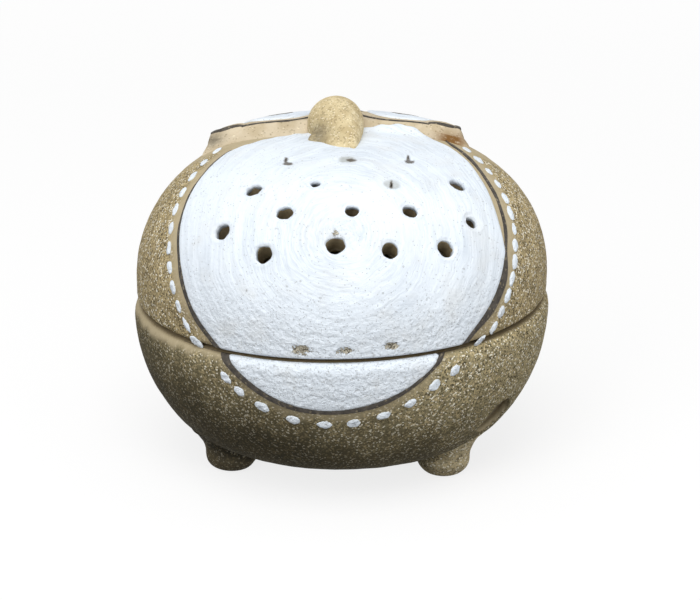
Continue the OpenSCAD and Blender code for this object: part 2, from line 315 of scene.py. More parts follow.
# %% Points and marks
def points_of(piece):
    """A piece's points in millimetres."""
    flat = np.empty(len(piece.data.vertices) * 3)
    piece.data.vertices.foreach_get("co", flat)
    return flat.reshape(-1, 3) / MM


def normals_of(piece):
    """The way out at each of a piece's points."""
    flat = np.empty(len(piece.data.vertices) * 3)
    piece.data.vertices.foreach_get("normal", flat)
    return flat.reshape(-1, 3)


def move_points(piece, points):
    piece.data.vertices.foreach_set("co", (points * MM).ravel())
    piece.data.update()


def mark(piece, name, values):
    """Keeps one number per point on the mesh, for the material to read."""
    layer = piece.data.attributes.new(name, "FLOAT", "POINT")
    layer.data.foreach_set("value", np.asarray(values, dtype=np.float32))


def mark_directions(piece, name, vectors):
    """Keeps three numbers per point on the mesh, for a tree to read."""
    layer = piece.data.attributes.new(name, "FLOAT_VECTOR", "POINT")
    layer.data.foreach_set("vector", np.asarray(vectors, dtype=np.float32).ravel())


def dress(piece, finish):
    piece.data.materials.clear()
    piece.data.materials.append(finish)
    return piece


print("tools for points and marks ready")


# %% Modifiers, joining and the wave
def settle(piece):
    """Turns what the modifiers make of a piece into its plain mesh."""
    bpy.context.view_layer.update()
    graph = bpy.context.evaluated_depsgraph_get()
    plain = bpy.data.meshes.new_from_object(piece.evaluated_get(graph), depsgraph=graph)
    piece.modifiers.clear()
    rough = piece.data
    piece.data = plain
    bpy.data.meshes.remove(rough)
    plain.name = piece.name
    return piece


def even_skin(piece, voxel, rounds):
    """Gives a piece small even faces and softens its edges."""
    remesh = piece.modifiers.new("even_skin", "REMESH")
    remesh.mode = "VOXEL"
    remesh.voxel_size = voxel * MM
    soften = piece.modifiers.new("soften", "SMOOTH")
    soften.factor = 0.5
    soften.iterations = rounds
    return settle(piece)


def join(name, parts):
    """One piece from several."""
    with bpy.context.temp_override(active_object=parts[0], selected_editable_objects=parts):
        bpy.ops.object.join()
    parts[0].name = name
    return parts[0]


def take_wave(piece):
    """Moves a piece that is done with the wave that goes through the whole burner."""
    move_points(piece, by_hand(points_of(piece)))
    return piece


print("tools for meshes ready")


# %% Nodes
def fill(tree, socket, value):
    """Wires another node's output to a socket, or sets the socket's own value."""
    if isinstance(value, bpy.types.NodeSocket):
        tree.links.new(value, socket)
    else:
        socket.default_value = value


def put(tree, kind, sockets=None, **options):
    """Adds a node, sets its options, and fills its input sockets."""
    made = tree.nodes.new(kind)
    for option, value in options.items():
        setattr(made, option, value)
    for socket, value in (sockets or {}).items():
        fill(tree, made.inputs[socket], value)
    return made


def colour(red, green, blue):
    """A colour as a screen shows it, 0 to 255, in the shader's linear numbers."""
    parts = [c / 255 for c in (red, green, blue)]
    return [c / 12.92 if c <= 0.04045 else ((c + 0.055) / 1.055) ** 2.4 for c in parts] + [1.0]


def new_finish(name):
    """An empty material: its tree, its shader and the object's own coordinates."""
    finish = bpy.data.materials.new(name)
    finish.use_nodes = True
    tree = finish.node_tree
    shader = tree.nodes["Principled BSDF"]
    place = put(tree, "ShaderNodeTexCoord").outputs["Object"]
    return finish, tree, shader, place


print("white is", colour(255, 255, 255))


# %% Sums in a tree
def math_node(tree, operation, *values):
    return put(tree, "ShaderNodeMath", dict(enumerate(values)), operation=operation).outputs[0]


def times(tree, first, second):
    return math_node(tree, "MULTIPLY", first, second)


def plus(tree, first, second):
    return math_node(tree, "ADD", first, second)


def minus(tree, first, second):
    return math_node(tree, "SUBTRACT", first, second)


def scaled(tree, value, factor, shift):
    return math_node(tree, "MULTIPLY_ADD", value, factor, shift)


def above(tree, value, limit):
    return math_node(tree, "GREATER_THAN", value, limit)


def below(tree, value, limit):
    return math_node(tree, "LESS_THAN", value, limit)


print("sums ready")


# %% Colours and patterns in a material
def blend(tree, factor, under, over):
    """Lays one colour over another."""
    return put(tree, "ShaderNodeMix", {0: factor, 6: under, 7: over}, data_type="RGBA").outputs[2]


def ramp(tree, value, low, high):
    """From 0 at low to 1 at high, softly."""
    return put(tree, "ShaderNodeMapRange", {"Value": value, "From Min": low, "From Max": high},
               interpolation_type="SMOOTHSTEP").outputs["Result"]


def read_mark(tree, name):
    return put(tree, "ShaderNodeAttribute", attribute_name=name).outputs["Fac"]


def set_look(tree, shader, tone, relief, strength, depth, rough, shine):
    """Gives the shader its colour, a relief of some millimetres, its roughness and its shine."""
    bump = put(tree, "ShaderNodeBump", {"Height": relief, "Strength": strength, "Distance": depth * MM})
    fill(tree, shader.inputs["Base Color"], tone)
    fill(tree, shader.inputs["Normal"], bump.outputs["Normal"])
    fill(tree, shader.inputs["Roughness"], rough)
    fill(tree, shader.inputs["Specular IOR Level"], shine)


def noise(tree, place, size, detail=2.0, rough=0.5):
    """Noise with bumps of about that many millimetres."""
    return put(tree, "ShaderNodeTexNoise", {"Vector": place, "Scale": 1 / (size * MM), "Detail": detail,
                                            "Roughness": rough}).outputs["Fac"]


def cells(tree, place, size):
    """Grains of about that many millimetres: distance from a grain's middle and its own random number."""
    grains = put(tree, "ShaderNodeTexVoronoi", {"Vector": place, "Scale": 1 / (size * MM)})
    chance = put(tree, "ShaderNodeSeparateColor", {"Color": grains.outputs["Color"]})
    return grains.outputs["Distance"], chance.outputs[0]


print("tools for materials ready")

# %% [markdown]
# ## Sandy stoneware
# The burner's clay is full of coarse sand. Fired, it is olive brown, with gold, pale and dark grains
# that stand a little proud. Its colour is darker towards the table, partly as the clay's own tone and
# partly as painted shade, and paler towards the right, as painted light. Plain noise would look like a
# cloudy stone, so grains are random cells about a third of a millimetre wide: each cell draws a
# number, and that number decides whether it is gold, pale, dark or plain clay. Marks on the mesh say
# where the clay was wiped smooth, where it is the inside and where it is the wall of a hole.

# %% The sandy clay
def sandy_clay(name, low_tone, mid_tone, high_tone, low_grain=0.15, painted_light_lean=0.28):
    """Sandy clay, darker low as own tone and painted shade, paler to the right as painted light."""
    finish, tree, shader, place = new_finish(name)
    parts = put(tree, "ShaderNodeSeparateXYZ", {0: place}).outputs
    wander = scaled(tree, noise(tree, place, 9, 3), 14 * MM, -7 * MM)
    # The lean makes the clay paler to the right: painted light from that side.
    height = plus(tree, plus(tree, parts["Z"], wander), times(tree, parts["X"], painted_light_lean))
    # Darker towards the table: partly the clay's own tone, partly painted shade; the grains fade there too.
    tone = blend(tree, ramp(tree, height, 6 * MM, 30 * MM), low_tone, mid_tone)
    tone = blend(tree, ramp(tree, height, 27 * MM, 48 * MM), tone, high_tone)
    mottle = ramp(tree, noise(tree, place, 2.6, 4, 0.6), 0.35, 0.7)
    tone = blend(tree, times(tree, mottle, 0.45), tone, colour(74, 65, 44))
    wiped = read_mark(tree, "wiped")
    inside = read_mark(tree, "inside")
    plain = math_node(tree, "MAXIMUM", wiped, inside)
    grainy = minus(tree, 1.0, plain)
    fade = scaled(tree, ramp(tree, height, 6 * MM, 29 * MM), 1 - low_grain, low_grain)
    grainy = times(tree, grainy, fade)
    fine_far, fine = cells(tree, place, 0.25)
    coarse_far, coarse = cells(tree, place, 0.46)
    dark = times(tree, below(tree, fine, 0.2), grainy)
    gold = times(tree, above(tree, fine, 0.7), grainy)
    pale = times(tree, above(tree, fine, 0.91), grainy)
    stone = times(tree, above(tree, coarse, 0.9), grainy)
    stone = times(tree, stone, below(tree, coarse_far, 0.45))
    tone = blend(tree, times(tree, dark, 0.7), tone, colour(44, 38, 25))
    tone = blend(tree, times(tree, gold, 0.5), tone, colour(218, 196, 148))
    tone = blend(tree, times(tree, pale, 0.9), tone, colour(250, 246, 230))
    tone = blend(tree, times(tree, stone, 0.6), tone, colour(226, 208, 166))
    smooth_tone = blend(tree, noise(tree, place, 0.9, 4), colour(172, 157, 125), colour(198, 184, 154))
    tone = blend(tree, wiped, tone, smooth_tone)
    # The inside is pale, as its own unglazed tone and as painted light; the walls of holes and the faces in
    # the seam get dark brown as painted shade.
    inner_lit_tone = blend(tree, noise(tree, place, 1.5, 5), colour(206, 192, 162), colour(234, 222, 196))
    shaded_wall_tone = blend(tree, noise(tree, place, 0.5, 4), colour(86, 73, 50), colour(134, 118, 88))
    inner_lit_tone = blend(tree, read_mark(tree, "in_hole"), inner_lit_tone, shaded_wall_tone)
    tone = blend(tree, inside, tone, inner_lit_tone)
    grain_top = times(tree, minus(tree, 0.6, fine_far), fine)
    relief = times(tree, grain_top, scaled(tree, grainy, 0.85, 0.15))
    relief = plus(tree, relief, times(tree, noise(tree, place, 0.5, 4), 0.5))
    relief = plus(tree, relief, times(tree, stone, 0.3))
    rough = scaled(tree, pale, -0.35, 0.88)
    set_look(tree, shader, tone, relief, strength=0.6, depth=0.16, rough=rough, shine=0.15)
    return finish


bowl_clay = sandy_clay("bowl_sandy_clay", colour(52, 48, 35), colour(162, 151, 117), colour(164, 151, 117))
lid_clay = sandy_clay("lid_sandy_clay", colour(84, 77, 56), colour(172, 156, 119), colour(180, 163, 124),
                      painted_light_lean=0.0)
print("clay:", len(lid_clay.node_tree.nodes), "nodes")

# %% [markdown]
# ## Turning bowl and lid
# Both were thrown or pinched round, so a section turned about the upright axis is the right rule for
# them. The Screw modifier could turn it; a Geometry Nodes tree does it here, with its turns and its
# weld as named inputs. It lays out a grid with one row per point of the section, looks each point up
# by its row and turns it by its column. Merging by distance closes the last seam and the two poles
# on the axis.

# %% Tools for trees
def new_tree(name, sizes):
    """A Geometry Nodes tree with a geometry in and out and named sizes between."""
    tree = bpy.data.node_groups.new(name, "GeometryNodeTree")
    tree.interface.new_socket("Geometry", in_out="INPUT", socket_type="NodeSocketGeometry")
    for title, kind in sizes:
        tree.interface.new_socket(title, in_out="INPUT", socket_type=kind)
    tree.interface.new_socket("Geometry", in_out="OUTPUT", socket_type="NodeSocketGeometry")
    return tree, put(tree, "NodeGroupInput").outputs


def finish_tree(tree, geometry, material):
    """Ends a tree as the export needs it: real geometry with its material."""
    real = put(tree, "GeometryNodeRealizeInstances", {"Geometry": geometry})
    dressed = put(tree, "GeometryNodeSetMaterial", {"Geometry": real.outputs[0], "Material": material})
    put(tree, "NodeGroupOutput", {"Geometry": dressed.outputs[0]})


def use_tree(piece, tree, **values):
    """Puts the tree on a piece and sets its inputs by their identifiers."""
    modifier = piece.modifiers.new(tree.name, "NODES")
    modifier.node_group = tree
    for item in tree.interface.items_tree:
        if item.in_out == "INPUT" and item.name in values:
            modifier[item.identifier] = values[item.name]


def whole(tree, operation, first, second):
    """A sum of whole numbers."""
    return put(tree, "FunctionNodeIntegerMath", {0: first, 1: second}, operation=operation).outputs[0]


print("tools for trees ready")

# %% The lathe
lathe, given = new_tree("lathe", [("Turns", "NodeSocketInt"), ("Weld", "NodeSocketFloat"),
                                  ("Clay", "NodeSocketMaterial")])
rows = put(lathe, "GeometryNodeAttributeDomainSize", {"Geometry": given["Geometry"]}).outputs["Point Count"]
columns = whole(lathe, "ADD", given["Turns"], 1)
sheet = put(lathe, "GeometryNodeMeshGrid", {"Vertices X": rows, "Vertices Y": columns})
index = put(lathe, "GeometryNodeInputIndex").outputs[0]
section = put(lathe, "GeometryNodeSampleIndex",
              {"Geometry": given["Geometry"], "Index": whole(lathe, "DIVIDE_FLOOR", index, columns)},
              data_type="FLOAT_VECTOR")
lathe.links.new(put(lathe, "GeometryNodeInputPosition").outputs[0], section.inputs["Value"])
share = math_node(lathe, "DIVIDE", whole(lathe, "MODULO", index, columns), given["Turns"])
turn = put(lathe, "ShaderNodeVectorRotate",
           {"Vector": section.outputs[0], "Angle": times(lathe, share, FULL_TURN)},
           rotation_type="Z_AXIS")
turned_sheet = put(lathe, "GeometryNodeSetPosition",
                   {"Geometry": sheet.outputs["Mesh"], "Position": turn.outputs[0]})
welded = put(lathe, "GeometryNodeMergeByDistance",
             {"Geometry": turned_sheet.outputs[0], "Distance": given["Weld"]})
finish_tree(lathe, welded.outputs[0], given["Clay"])
print("lathe:", len(lathe.nodes), "nodes")

# %% [markdown]
# ## Piercing
# The smoke holes in the lid and the air hole in the bowl were pushed through the soft clay with a
# round stick. A Boolean modifier for each hole would be a long list. A second tree stands a drill on
# every mark instead, aims it by a direction kept on the mark, and takes all drills away from the clay
# in one cut. Each drill has its own width from a fixed seed, because no two pierced holes are alike.

# %% Directions and uneven sizes
DRILL_SIDES = 28


def kept_direction(tree, name):
    """Three numbers that a mark carries."""
    return put(tree, "GeometryNodeInputNamedAttribute", {"Name": name}, data_type="FLOAT_VECTOR").outputs[0]


def uneven_sizes(tree, spread, seed, axes):
    """A random size factor per mark along some axes, up to the spread above or below one."""
    factor = put(tree, "FunctionNodeRandomValue", {"Seed": seed}, data_type="FLOAT_VECTOR")
    for limit, share in enumerate((minus(tree, 1.0, spread), plus(tree, 1.0, spread))):
        ends = put(tree, "ShaderNodeCombineXYZ", {axis: share if axis in axes else 1.0 for axis in "XYZ"})
        tree.links.new(ends.outputs[0], factor.inputs[limit])
    return factor.outputs[0]


def vector_node(tree, operation, first, second):
    return put(tree, "ShaderNodeVectorMath", {0: first, 1: second}, operation=operation).outputs[0]


print("drills have", DRILL_SIDES, "sides")

# %% The piercing tree
pierce, given = new_tree("pierce", [("Marks", "NodeSocketObject"), ("Width", "NodeSocketFloat"),
                                    ("Length", "NodeSocketFloat"), ("Spread", "NodeSocketFloat"),
                                    ("Seed", "NodeSocketInt"), ("Clay", "NodeSocketMaterial")])
marks = put(pierce, "GeometryNodeObjectInfo", {"Object": given["Marks"]}).outputs["Geometry"]
drill = put(pierce, "GeometryNodeMeshCylinder",
            {"Vertices": DRILL_SIDES, "Radius": times(pierce, given["Width"], 0.5),
             "Depth": given["Length"]})
stand = put(pierce, "FunctionNodeAlignRotationToVector", {"Vector": kept_direction(pierce, "aim")}, axis="Z")
drill_size = vector_node(pierce, "MULTIPLY", uneven_sizes(pierce, given["Spread"], given["Seed"], "XY"),
                         kept_direction(pierce, "wide"))
drills = put(pierce, "GeometryNodeInstanceOnPoints",
             {"Points": marks, "Instance": drill.outputs["Mesh"], "Rotation": stand.outputs[0],
              "Scale": drill_size})
solid_drills = put(pierce, "GeometryNodeRealizeInstances", {"Geometry": drills.outputs[0]})
cut = put(pierce, "GeometryNodeMeshBoolean", operation="DIFFERENCE", solver="EXACT")
pierce.links.new(given["Geometry"], cut.inputs["Mesh 1"])
pierce.links.new(solid_drills.outputs[0], cut.inputs["Mesh 2"])
finish_tree(pierce, cut.outputs["Mesh"], given["Clay"])


def hole_marks(name, points, normals, widths=(1.0, 1.0, 1.0)):
    """Points with a direction and width factors each, for the piercing tree to stand its drills on."""
    marks_piece = new_piece(name, points, [])
    mark_directions(marks_piece, "aim", normals)
    mark_directions(marks_piece, "wide", np.array(widths) * np.ones((len(points), 3)))
    marks_piece.hide_render = True
    return marks_piece


print("piercing tree:", len(pierce.nodes), "nodes")

# %% [markdown]
# ## The sections
# The bowl's section runs from the axis under the floor, round the belly to the rim, over the collar
# that centres the lid, and back along the inside. The lid's section has a rebate that takes the
# collar, and its lower edge slants up a little, which leaves the dark slit of the seam. They could be
# drawn as curves by hand; the arcs are those of the solids, so the clay fits them. Points sit about
# half a millimetre apart.

# %% Sections of bowl and lid
POINT_STEP = 0.5


def arc(centre, radius, start, end):
    """Points along an arc, from one angle to another."""
    count = max(3, int(abs(end - start) * radius / POINT_STEP))
    angles = np.linspace(start, end, count)
    return np.stack([centre[0] + radius * np.cos(angles), centre[1] + radius * np.sin(angles)], axis=-1)


def run_between(*corners):
    """Points along straight lines between corners."""
    parts = []
    for first, last in zip(corners, corners[1:]):
        count = max(2, int(math.dist(first, last) / POINT_STEP))
        parts.append(np.linspace(first, last, count))
    return np.concatenate(parts)


UNDER_COLLAR = SEAM_Z - COLLAR_H
INNER_SIDE = SIDE_R - WALL
collar_meet_z = UNDER_COLLAR - (SIDE_C[0] + INNER_SIDE - COLLAR_IN)
bowl_section = np.concatenate([
    run_between((0, FOOT_H), (CORNER_X, FOOT_H)),
    arc((CORNER_X, CORNER_Z), CORNER_R, -QUARTER, CORNER_TURN),
    arc(SIDE_C, SIDE_R, CORNER_TURN, 0),
    arc((BOWL_R - RIM_ROUND, SIDE_C[1]), RIM_ROUND, 0, QUARTER),
    run_between((BOWL_R - RIM_ROUND, SEAM_Z), (COLLAR_OUT, SEAM_Z), (COLLAR_OUT, SEAM_Z + COLLAR_H),
                (COLLAR_IN, SEAM_Z + COLLAR_H), (COLLAR_IN, UNDER_COLLAR)),
    arc(SIDE_C, INNER_SIDE, math.asin((collar_meet_z - SIDE_C[1]) / INNER_SIDE), CORNER_TURN),
    arc((CORNER_X, CORNER_Z), CORNER_R - WALL, CORNER_TURN, -QUARTER),
    run_between((CORNER_X, FOOT_H + WALL), (0, FOOT_H + WALL))])
lid_section = np.concatenate([
    arc((0, CROWN_Z), CROWN_R, QUARTER, CROWN_TURN),
    arc(SHOULDER_C, SHOULDER_R, CROWN_TURN, 0),
    run_between((LID_R, SKIRT_H), (LID_R, SEAM_SLIT + LID_EDGE)),
    arc((LID_R - LID_EDGE, SEAM_SLIT + LID_EDGE), LID_EDGE, 0, -QUARTER),
    run_between((LID_R - LID_EDGE, SEAM_SLIT), (REBATE_R, 0), (REBATE_R, COLLAR_H + SEAT_GAP),
                (LID_R - WALL, COLLAR_H + SEAT_GAP), (LID_R - WALL, SKIRT_H)),
    arc(SHOULDER_C, SHOULDER_R - WALL, 0, CROWN_TURN),
    arc((0, CROWN_Z), CROWN_R - WALL, CROWN_TURN, QUARTER)]) + (0, SEAM_Z)
print("section points: bowl", len(bowl_section), "lid", len(lid_section))

# %% [markdown]
# ## The holes
# Sixteen smoke holes go through the owl's belly in four rows. A rule could space them, but a hand's
# rows are not even, so each place is a pair of numbers, as a share of the belly's radius. The stick
# went in from above, so the drills for the clay are turned up from square to the wall, and the slip
# is opened square to it. Four of the holes are closed by slip on the real burner, so the clay has
# them and the white layer later covers them, with cracks in it. The slip narrows most of the others.
# One air hole sits low in the bowl's right side.

# %% Where the holes are
BELLY_R = 27.2
BELLY_C = np.array([0, 5.3])
HOLE_D = 3.2
SLIP_HOLE_D = 3.05
HOLES = BELLY_C + BELLY_R * np.array([
    (-0.465, -0.11), (-0.04, -0.07), (0.285, -0.1), (0.62, -0.08),
    (-0.72, 0.05), (-0.345, 0.145), (0.06, 0.15), (0.41, 0.155), (0.785, 0.1),
    (-0.535, 0.31), (-0.16, 0.34), (0.3, 0.33), (0.71, 0.355),
    (-0.345, 0.51), (0.03, 0.525), (0.42, 0.525)])
CLOSED_HOLES = (11, 13, 14, 15)
NARROWED = {4: 0.9, 5: 0.95, 6: 0.78, 7: 0.85, 8: 0.74, 9: 0.9, 10: 0.62, 12: 0.95}
CRACKS = {11: ((0, 0.1, 0.08, 0.4),),
          13: ((-0.1, 0.65, 0.1, 0.35), (0.3, -0.2, 0.4, 0.12)),
          14: ((0.8, 0.05, 0.42, 0.12),),
          15: ((-0.2, 0.7, 0.08, 0.3), (0, 0, 0.42, 0.13))}
DRILL_RISE = 0.45
DRILL_LEN = 3 * WALL
DRILL_SEED = 5
AIR_D = 7.5
AIR_Z = 11.5
AIR_TURN = math.radians(55)

hole_points, hole_normals = skin(HOLES[:, 0], HOLES[:, 1])
hole_aims = hole_normals + (0, 0, DRILL_RISE)
hole_aims /= np.linalg.norm(hole_aims, axis=1)[:, None]
lid_marks = hole_marks("smoke_hole_marks", hole_points - WALL / 2 * hole_aims, hole_aims)
open_holes = [i for i in range(len(HOLES)) if i not in CLOSED_HOLES]
crack_spots = np.array([HOLES[i] + crack[:2] for i, cracks in CRACKS.items() for crack in cracks])
slip_spots = np.concatenate([HOLES[open_holes], crack_spots])
slip_widths = [(NARROWED.get(i, 1.0), NARROWED.get(i, 1.0), 1.0) for i in open_holes]
slip_widths += [(*crack[2:], 1.0) for cracks in CRACKS.values() for crack in cracks]
slip_points, slip_normals = skin(slip_spots[:, 0], slip_spots[:, 1])
crack_points = slip_points[len(open_holes):]
crack_sizes = SLIP_HOLE_D / 2 * np.array(slip_widths)[len(open_holes):]
slip_marks = hole_marks("slip_hole_marks", slip_points, slip_normals, slip_widths)
air_r = float(outside_radius(np.array(AIR_Z)))
air_point = np.array([[air_r * math.sin(AIR_TURN), -air_r * math.cos(AIR_TURN), AIR_Z]])
air_normal = outward(air_point)
air_marks = hole_marks("air_hole_mark", air_point - WALL / 2 * air_normal, air_normal)
print("holes:", len(HOLES), "for smoke,", len(open_holes), "open; one for air at", np.round(air_point[0], 1))

# %% [markdown]
# ## Bowl and lid in clay
# Both are turned and pierced with the two trees. Bevels would need clean edges round every hole, so a
# voxel remesh gives them an even skin of small faces instead, and a smoothing softens every edge, as
# wet fingers do. How deep a point lies in the clay follows from the section's arcs; it will tell the
# outside from the inside.

# %% Turn, pierce and soften
VOXEL = 0.48
TURNS = 360
WELD = 0.01
SOFTENING = 6


def turned_clay(name, outline, hole_piece, hole_width, spread, clay):
    """A turned, pierced and softened body of clay."""
    piece = new_piece(name, np.stack([outline[:, 0], 0 * outline[:, 0], outline[:, 1]], axis=-1), [])
    use_tree(piece, lathe, Turns=TURNS, Weld=WELD * MM, Clay=clay)
    tidy(settle(piece))
    use_tree(piece, pierce, Marks=hole_piece, Width=hole_width * MM, Length=DRILL_LEN * MM,
             Spread=spread, Seed=DRILL_SEED, Clay=clay)
    return dress(even_skin(piece, VOXEL, SOFTENING), clay)


def depth_in_lid(points):
    """How deep a point lies under the lid's outside."""
    r = np.hypot(points[:, 0], points[:, 1])
    h = points[:, 2] - SEAM_Z
    around = SHOULDER_R - np.hypot(r - SHOULDER_C[0], np.clip(h - SKIRT_H, 0, None))
    over = CROWN_R - np.hypot(r, h - CROWN_Z)
    return np.where(r > SHOULDER_C[0], around, over)


def depth_in_bowl(points):
    """How deep a point lies under the bowl's outside."""
    r = np.hypot(points[:, 0], points[:, 1])
    z = points[:, 2]
    side = SIDE_R - np.hypot(r - SIDE_C[0], np.clip(z - SIDE_C[1], None, 0))
    low = CORNER_R - np.hypot(np.clip(r - CORNER_X, 0, None), z - CORNER_Z)
    return np.where(z > CORNER_MEET, side, low)


lid = turned_clay("lid", lid_section, lid_marks, HOLE_D, 0.06, lid_clay)
bowl = turned_clay("bowl", bowl_section, air_marks, AIR_D, 0.02, bowl_clay)
print("lid", len(lid.data.polygons), "faces, bowl", len(bowl.data.polygons), "faces")

# %% [markdown]
# ## The belly's outline
# The white belly is a hand-drawn round: a circle that pulls in a little at three places. On the lid
# it ends above at two lobes, left and right of the beak, and both halves end at the seam. A curve
# object could hold it; a function of the angle is easier to ask. Everything painted on the belly uses
# these outlines, so they are worked out once.

# %% Outlines on lid and bowl
LOWER_R = 21.84
LOWER_C = np.array([-1.2, -0.99])
SEAM_MARGIN = 0.22
DENTS = ((math.radians(217), 0.8, 0.32), (math.radians(323), 0.8, 0.32), (math.radians(136), 1.2, 0.3))
LEFT_LOBE = (-6.0, 5.8, 5.28)
RIGHT_LOBE = (10.6, 8.0, 6.3, 3.1)


def belly_edge(angle):
    """Radius of the white belly's outline on the lid, in a direction of its plane."""
    radius = BELLY_R + 0.12 * np.sin(5 * angle + 1) + 0.08 * np.sin(11 * angle)
    for at, deep, wide in DENTS:
        radius = radius - deep * np.exp(-((angle - at) / wide) ** 2)
    return radius


def top_edge(x):
    """How far back the white reaches on the dome: two lobes beside the beak."""
    left = LEFT_LOBE[1] - ((x - LEFT_LOBE[0]) / LEFT_LOBE[2]) ** 2
    width = np.where(x < RIGHT_LOBE[0], RIGHT_LOBE[2], RIGHT_LOBE[3])
    right = RIGHT_LOBE[1] - ((x - RIGHT_LOBE[0]) / width) ** 2
    return np.where(x < 0, left, right) + 0.12 * np.sin(2.1 * x)


print("belly outline", BELLY_R, "mm on the lid,", LOWER_R, "mm on the bowl")


# %% How far the white may reach
def on_plane(centre, radius, angle):
    """A point of the belly's plane at a radius and an angle round a centre."""
    return centre[0] + radius * np.cos(angle), centre[1] + radius * np.sin(angle)


def farthest(centre, angle, limit, allowed):
    """The greatest radius up to a limit at which a point of the clay is still allowed."""
    near = np.zeros_like(limit)
    far = limit.copy()
    for _ in range(HALVINGS):
        mid = (near + far) / 2
        fits = allowed(skin(*on_plane(centre, mid, angle))[0])
        near = np.where(fits, mid, near)
        far = np.where(fits, far, mid)
    return near


def above_seam(points):
    """True on the lid, clear of the slit at the seam."""
    return points[..., 2] > SEAM_Z + SEAM_SLIT + SEAM_MARGIN


def belly_on_lid(points):
    """True between the seam and the two lobes."""
    return above_seam(points) & (points[..., 1] < top_edge(points[..., 0]))


def seam_radius(angle):
    """Distance from the lower outline's centre to the seam, for directions that go down."""
    far = np.full_like(angle, 2.0 * LOWER_R)
    return farthest(LOWER_C, angle, far, lambda points: points[..., 2] > SEAM_Z - SEAM_MARGIN)


print("white stops", SEAM_MARGIN, "mm from the seam")

# %% [markdown]
# ## The head's form
# The head is a flat pad of clay at the back of the dome. From the front it rises in a hollow slope
# to a ridge, and its sides run out into the shoulder. It is a thickness added to the dome: the
# smaller of a front slope and the side slopes, with a soft fall at the back. It could be sculpted,
# but on a formula the eyes and brows can be laid exactly. The white belly climbs the front slope, so
# the formula comes before the slip.

# %% Height of the head above the dome
HEAD_FRONT = 8.5
HEAD_HALF = 22.25
HEAD_RIGHT = 20.1
HEAD_BACK = 29.5
HEAD_RISE = 2.0
FRONT_SLOPE = 3.6
SIDE_SLOPE = 3.2
BACK_SLOPE = 5.0
HOLLOW = 1.6


def head_height(x, y):
    """Thickness of the head's clay over the dome at (x, y)."""
    ramp_up = np.clip((y - HEAD_FRONT + FRONT_SLOPE) / FRONT_SLOPE, 0, 1) ** HOLLOW
    half = np.where(x < 0, HEAD_HALF, HEAD_RIGHT)
    side = np.clip((half + SIDE_SLOPE - np.abs(x)) / SIDE_SLOPE, 0, 1) ** HOLLOW
    back = smooth_step(0, BACK_SLOPE, HEAD_BACK - np.hypot(x, y))
    return HEAD_RISE * np.minimum(ramp_up, side) * back


def belly_skin(u, v):
    """The clay under the belly, with the head's front slope."""
    points, normals = skin(u, v)
    rise = np.where(points[..., 2] > SEAM_Z + SKIRT_H, head_height(points[..., 0], points[..., 1]), 0)
    return points + rise[..., None] * normals, normals


def face_skin(x, y):
    """The head's surface straight above (x, y)."""
    points, normals = dome(x, y)
    return points + head_height(x, y)[..., None] * normals, normals


print("head rises", HEAD_RISE, "mm over", FRONT_SLOPE, "mm")

# %% [markdown]
# ## Last touches on the clay
# The two bodies get their marks and their unevenness: shallow dents and the common wave. Three marks
# are kept for the material: how smooth the clay was wiped, what lies inside, and what is the wall of
# a hole. The inside is pale, as its own tone and as painted light; the walls of holes and the faces in
# the seam are painted dark brown, as painted shade. Wiped smooth are the ring round the belly, where
# the brush was drawn along, the clay next to the head and the bowl's rim on the left. The wall of the
# air hole takes the same pale wiped tone as painted light. Marks could be painted by hand; worked out
# from the points, they follow when a size changes.

# %% Marks and dents on bowl and lid
RING_WIDTH = 2.4
DENT_DEPTH = 0.05
INSIDE_FROM = (0.7, 1.3)
HOLE_WALL_TO = (1.0, 2.6)
JOINT_H = 6.0
# Depths in the wall of a smoke hole, and the depths whose colours the clay takes there: dark brown
# as painted shade from just below the skin until shortly before the inside.
HOLE_WALL_DEPTHS = (0.2, 0.6, 3.0, 3.6)
HOLE_WALL_READS_AS = (0.7, 1.2, 1.3, 2.6)


def in_plane(points, centre):
    """Where points lie from a centre in the belly's plane: sideways and upwards."""
    return points[..., 0] - centre[0], (points - (0, 0, SEAM_Z)) @ UP_BELLY - centre[1]


def ring_distance(points, centre, radius):
    """Distance outside an outline of the belly, seen along the line of sight."""
    u, v = in_plane(points, centre)
    angle = np.mod(np.arctan2(v, u) + QUARTER, FULL_TURN) - QUARTER
    return np.hypot(u, v) - radius(angle)


def facing_belly(points):
    """True on the side that the belly is on."""
    return (points - (0, 0, SEAM_Z)) @ SIGHT > 0


def roughen(piece, depth):
    """Shallow dents all over, then the common wave."""
    points = points_of(piece)
    dents = ripple(points, 3.1, 7) + 0.6 * ripple(points, 1.2, 8)
    points = points + (DENT_DEPTH * dents)[:, None] * normals_of(piece)
    mark(piece, "inside", smooth_step(*INSIDE_FROM, depth))
    mark(piece, "in_hole", 1 - smooth_step(*HOLE_WALL_TO, depth))
    move_points(piece, by_hand(points))
    piece.data.shade_smooth()


print("dents about", DENT_DEPTH, "mm deep")

# %% The lid's marks
# The ring round the belly, fainter towards the seam, and the clay beside the head are wiped.
lid_points = points_of(lid)
lid_depth = depth_in_lid(lid_points)
away = ring_distance(lid_points, BELLY_C, belly_edge)
ring = 1 - smooth_step(0.7, RING_WIDTH, away + 0.5 * ripple(lid_points, 2.0, 11))
ring *= 0.4 + 0.6 * smooth_step(SEAM_Z + 2, SEAM_Z + 11, lid_points[:, 2])
beside_head = smooth_step(-4.5, -0.5, lid_points[:, 1] - HEAD_FRONT + FRONT_SLOPE)
beside_head *= 1 - smooth_step(HEAD_HALF + 2, HEAD_HALF + 7, np.abs(lid_points[:, 0]))
beside_head *= smooth_step(SEAM_Z + 14, SEAM_Z + 21, lid_points[:, 2])
mark(lid, "wiped", np.clip(np.maximum(np.where(facing_belly(lid_points), ring, 0), beside_head), 0, 1))
# Painted shade: the smoke holes' walls take the dark brown tone, the deeper inside the pale one.
in_wall = np.interp(lid_depth, HOLE_WALL_DEPTHS, HOLE_WALL_READS_AS)
roughen(lid, np.where(lid_points[:, 2] > SEAM_Z + JOINT_H, in_wall, lid_depth))
print("lid marked:", len(lid_points), "points")
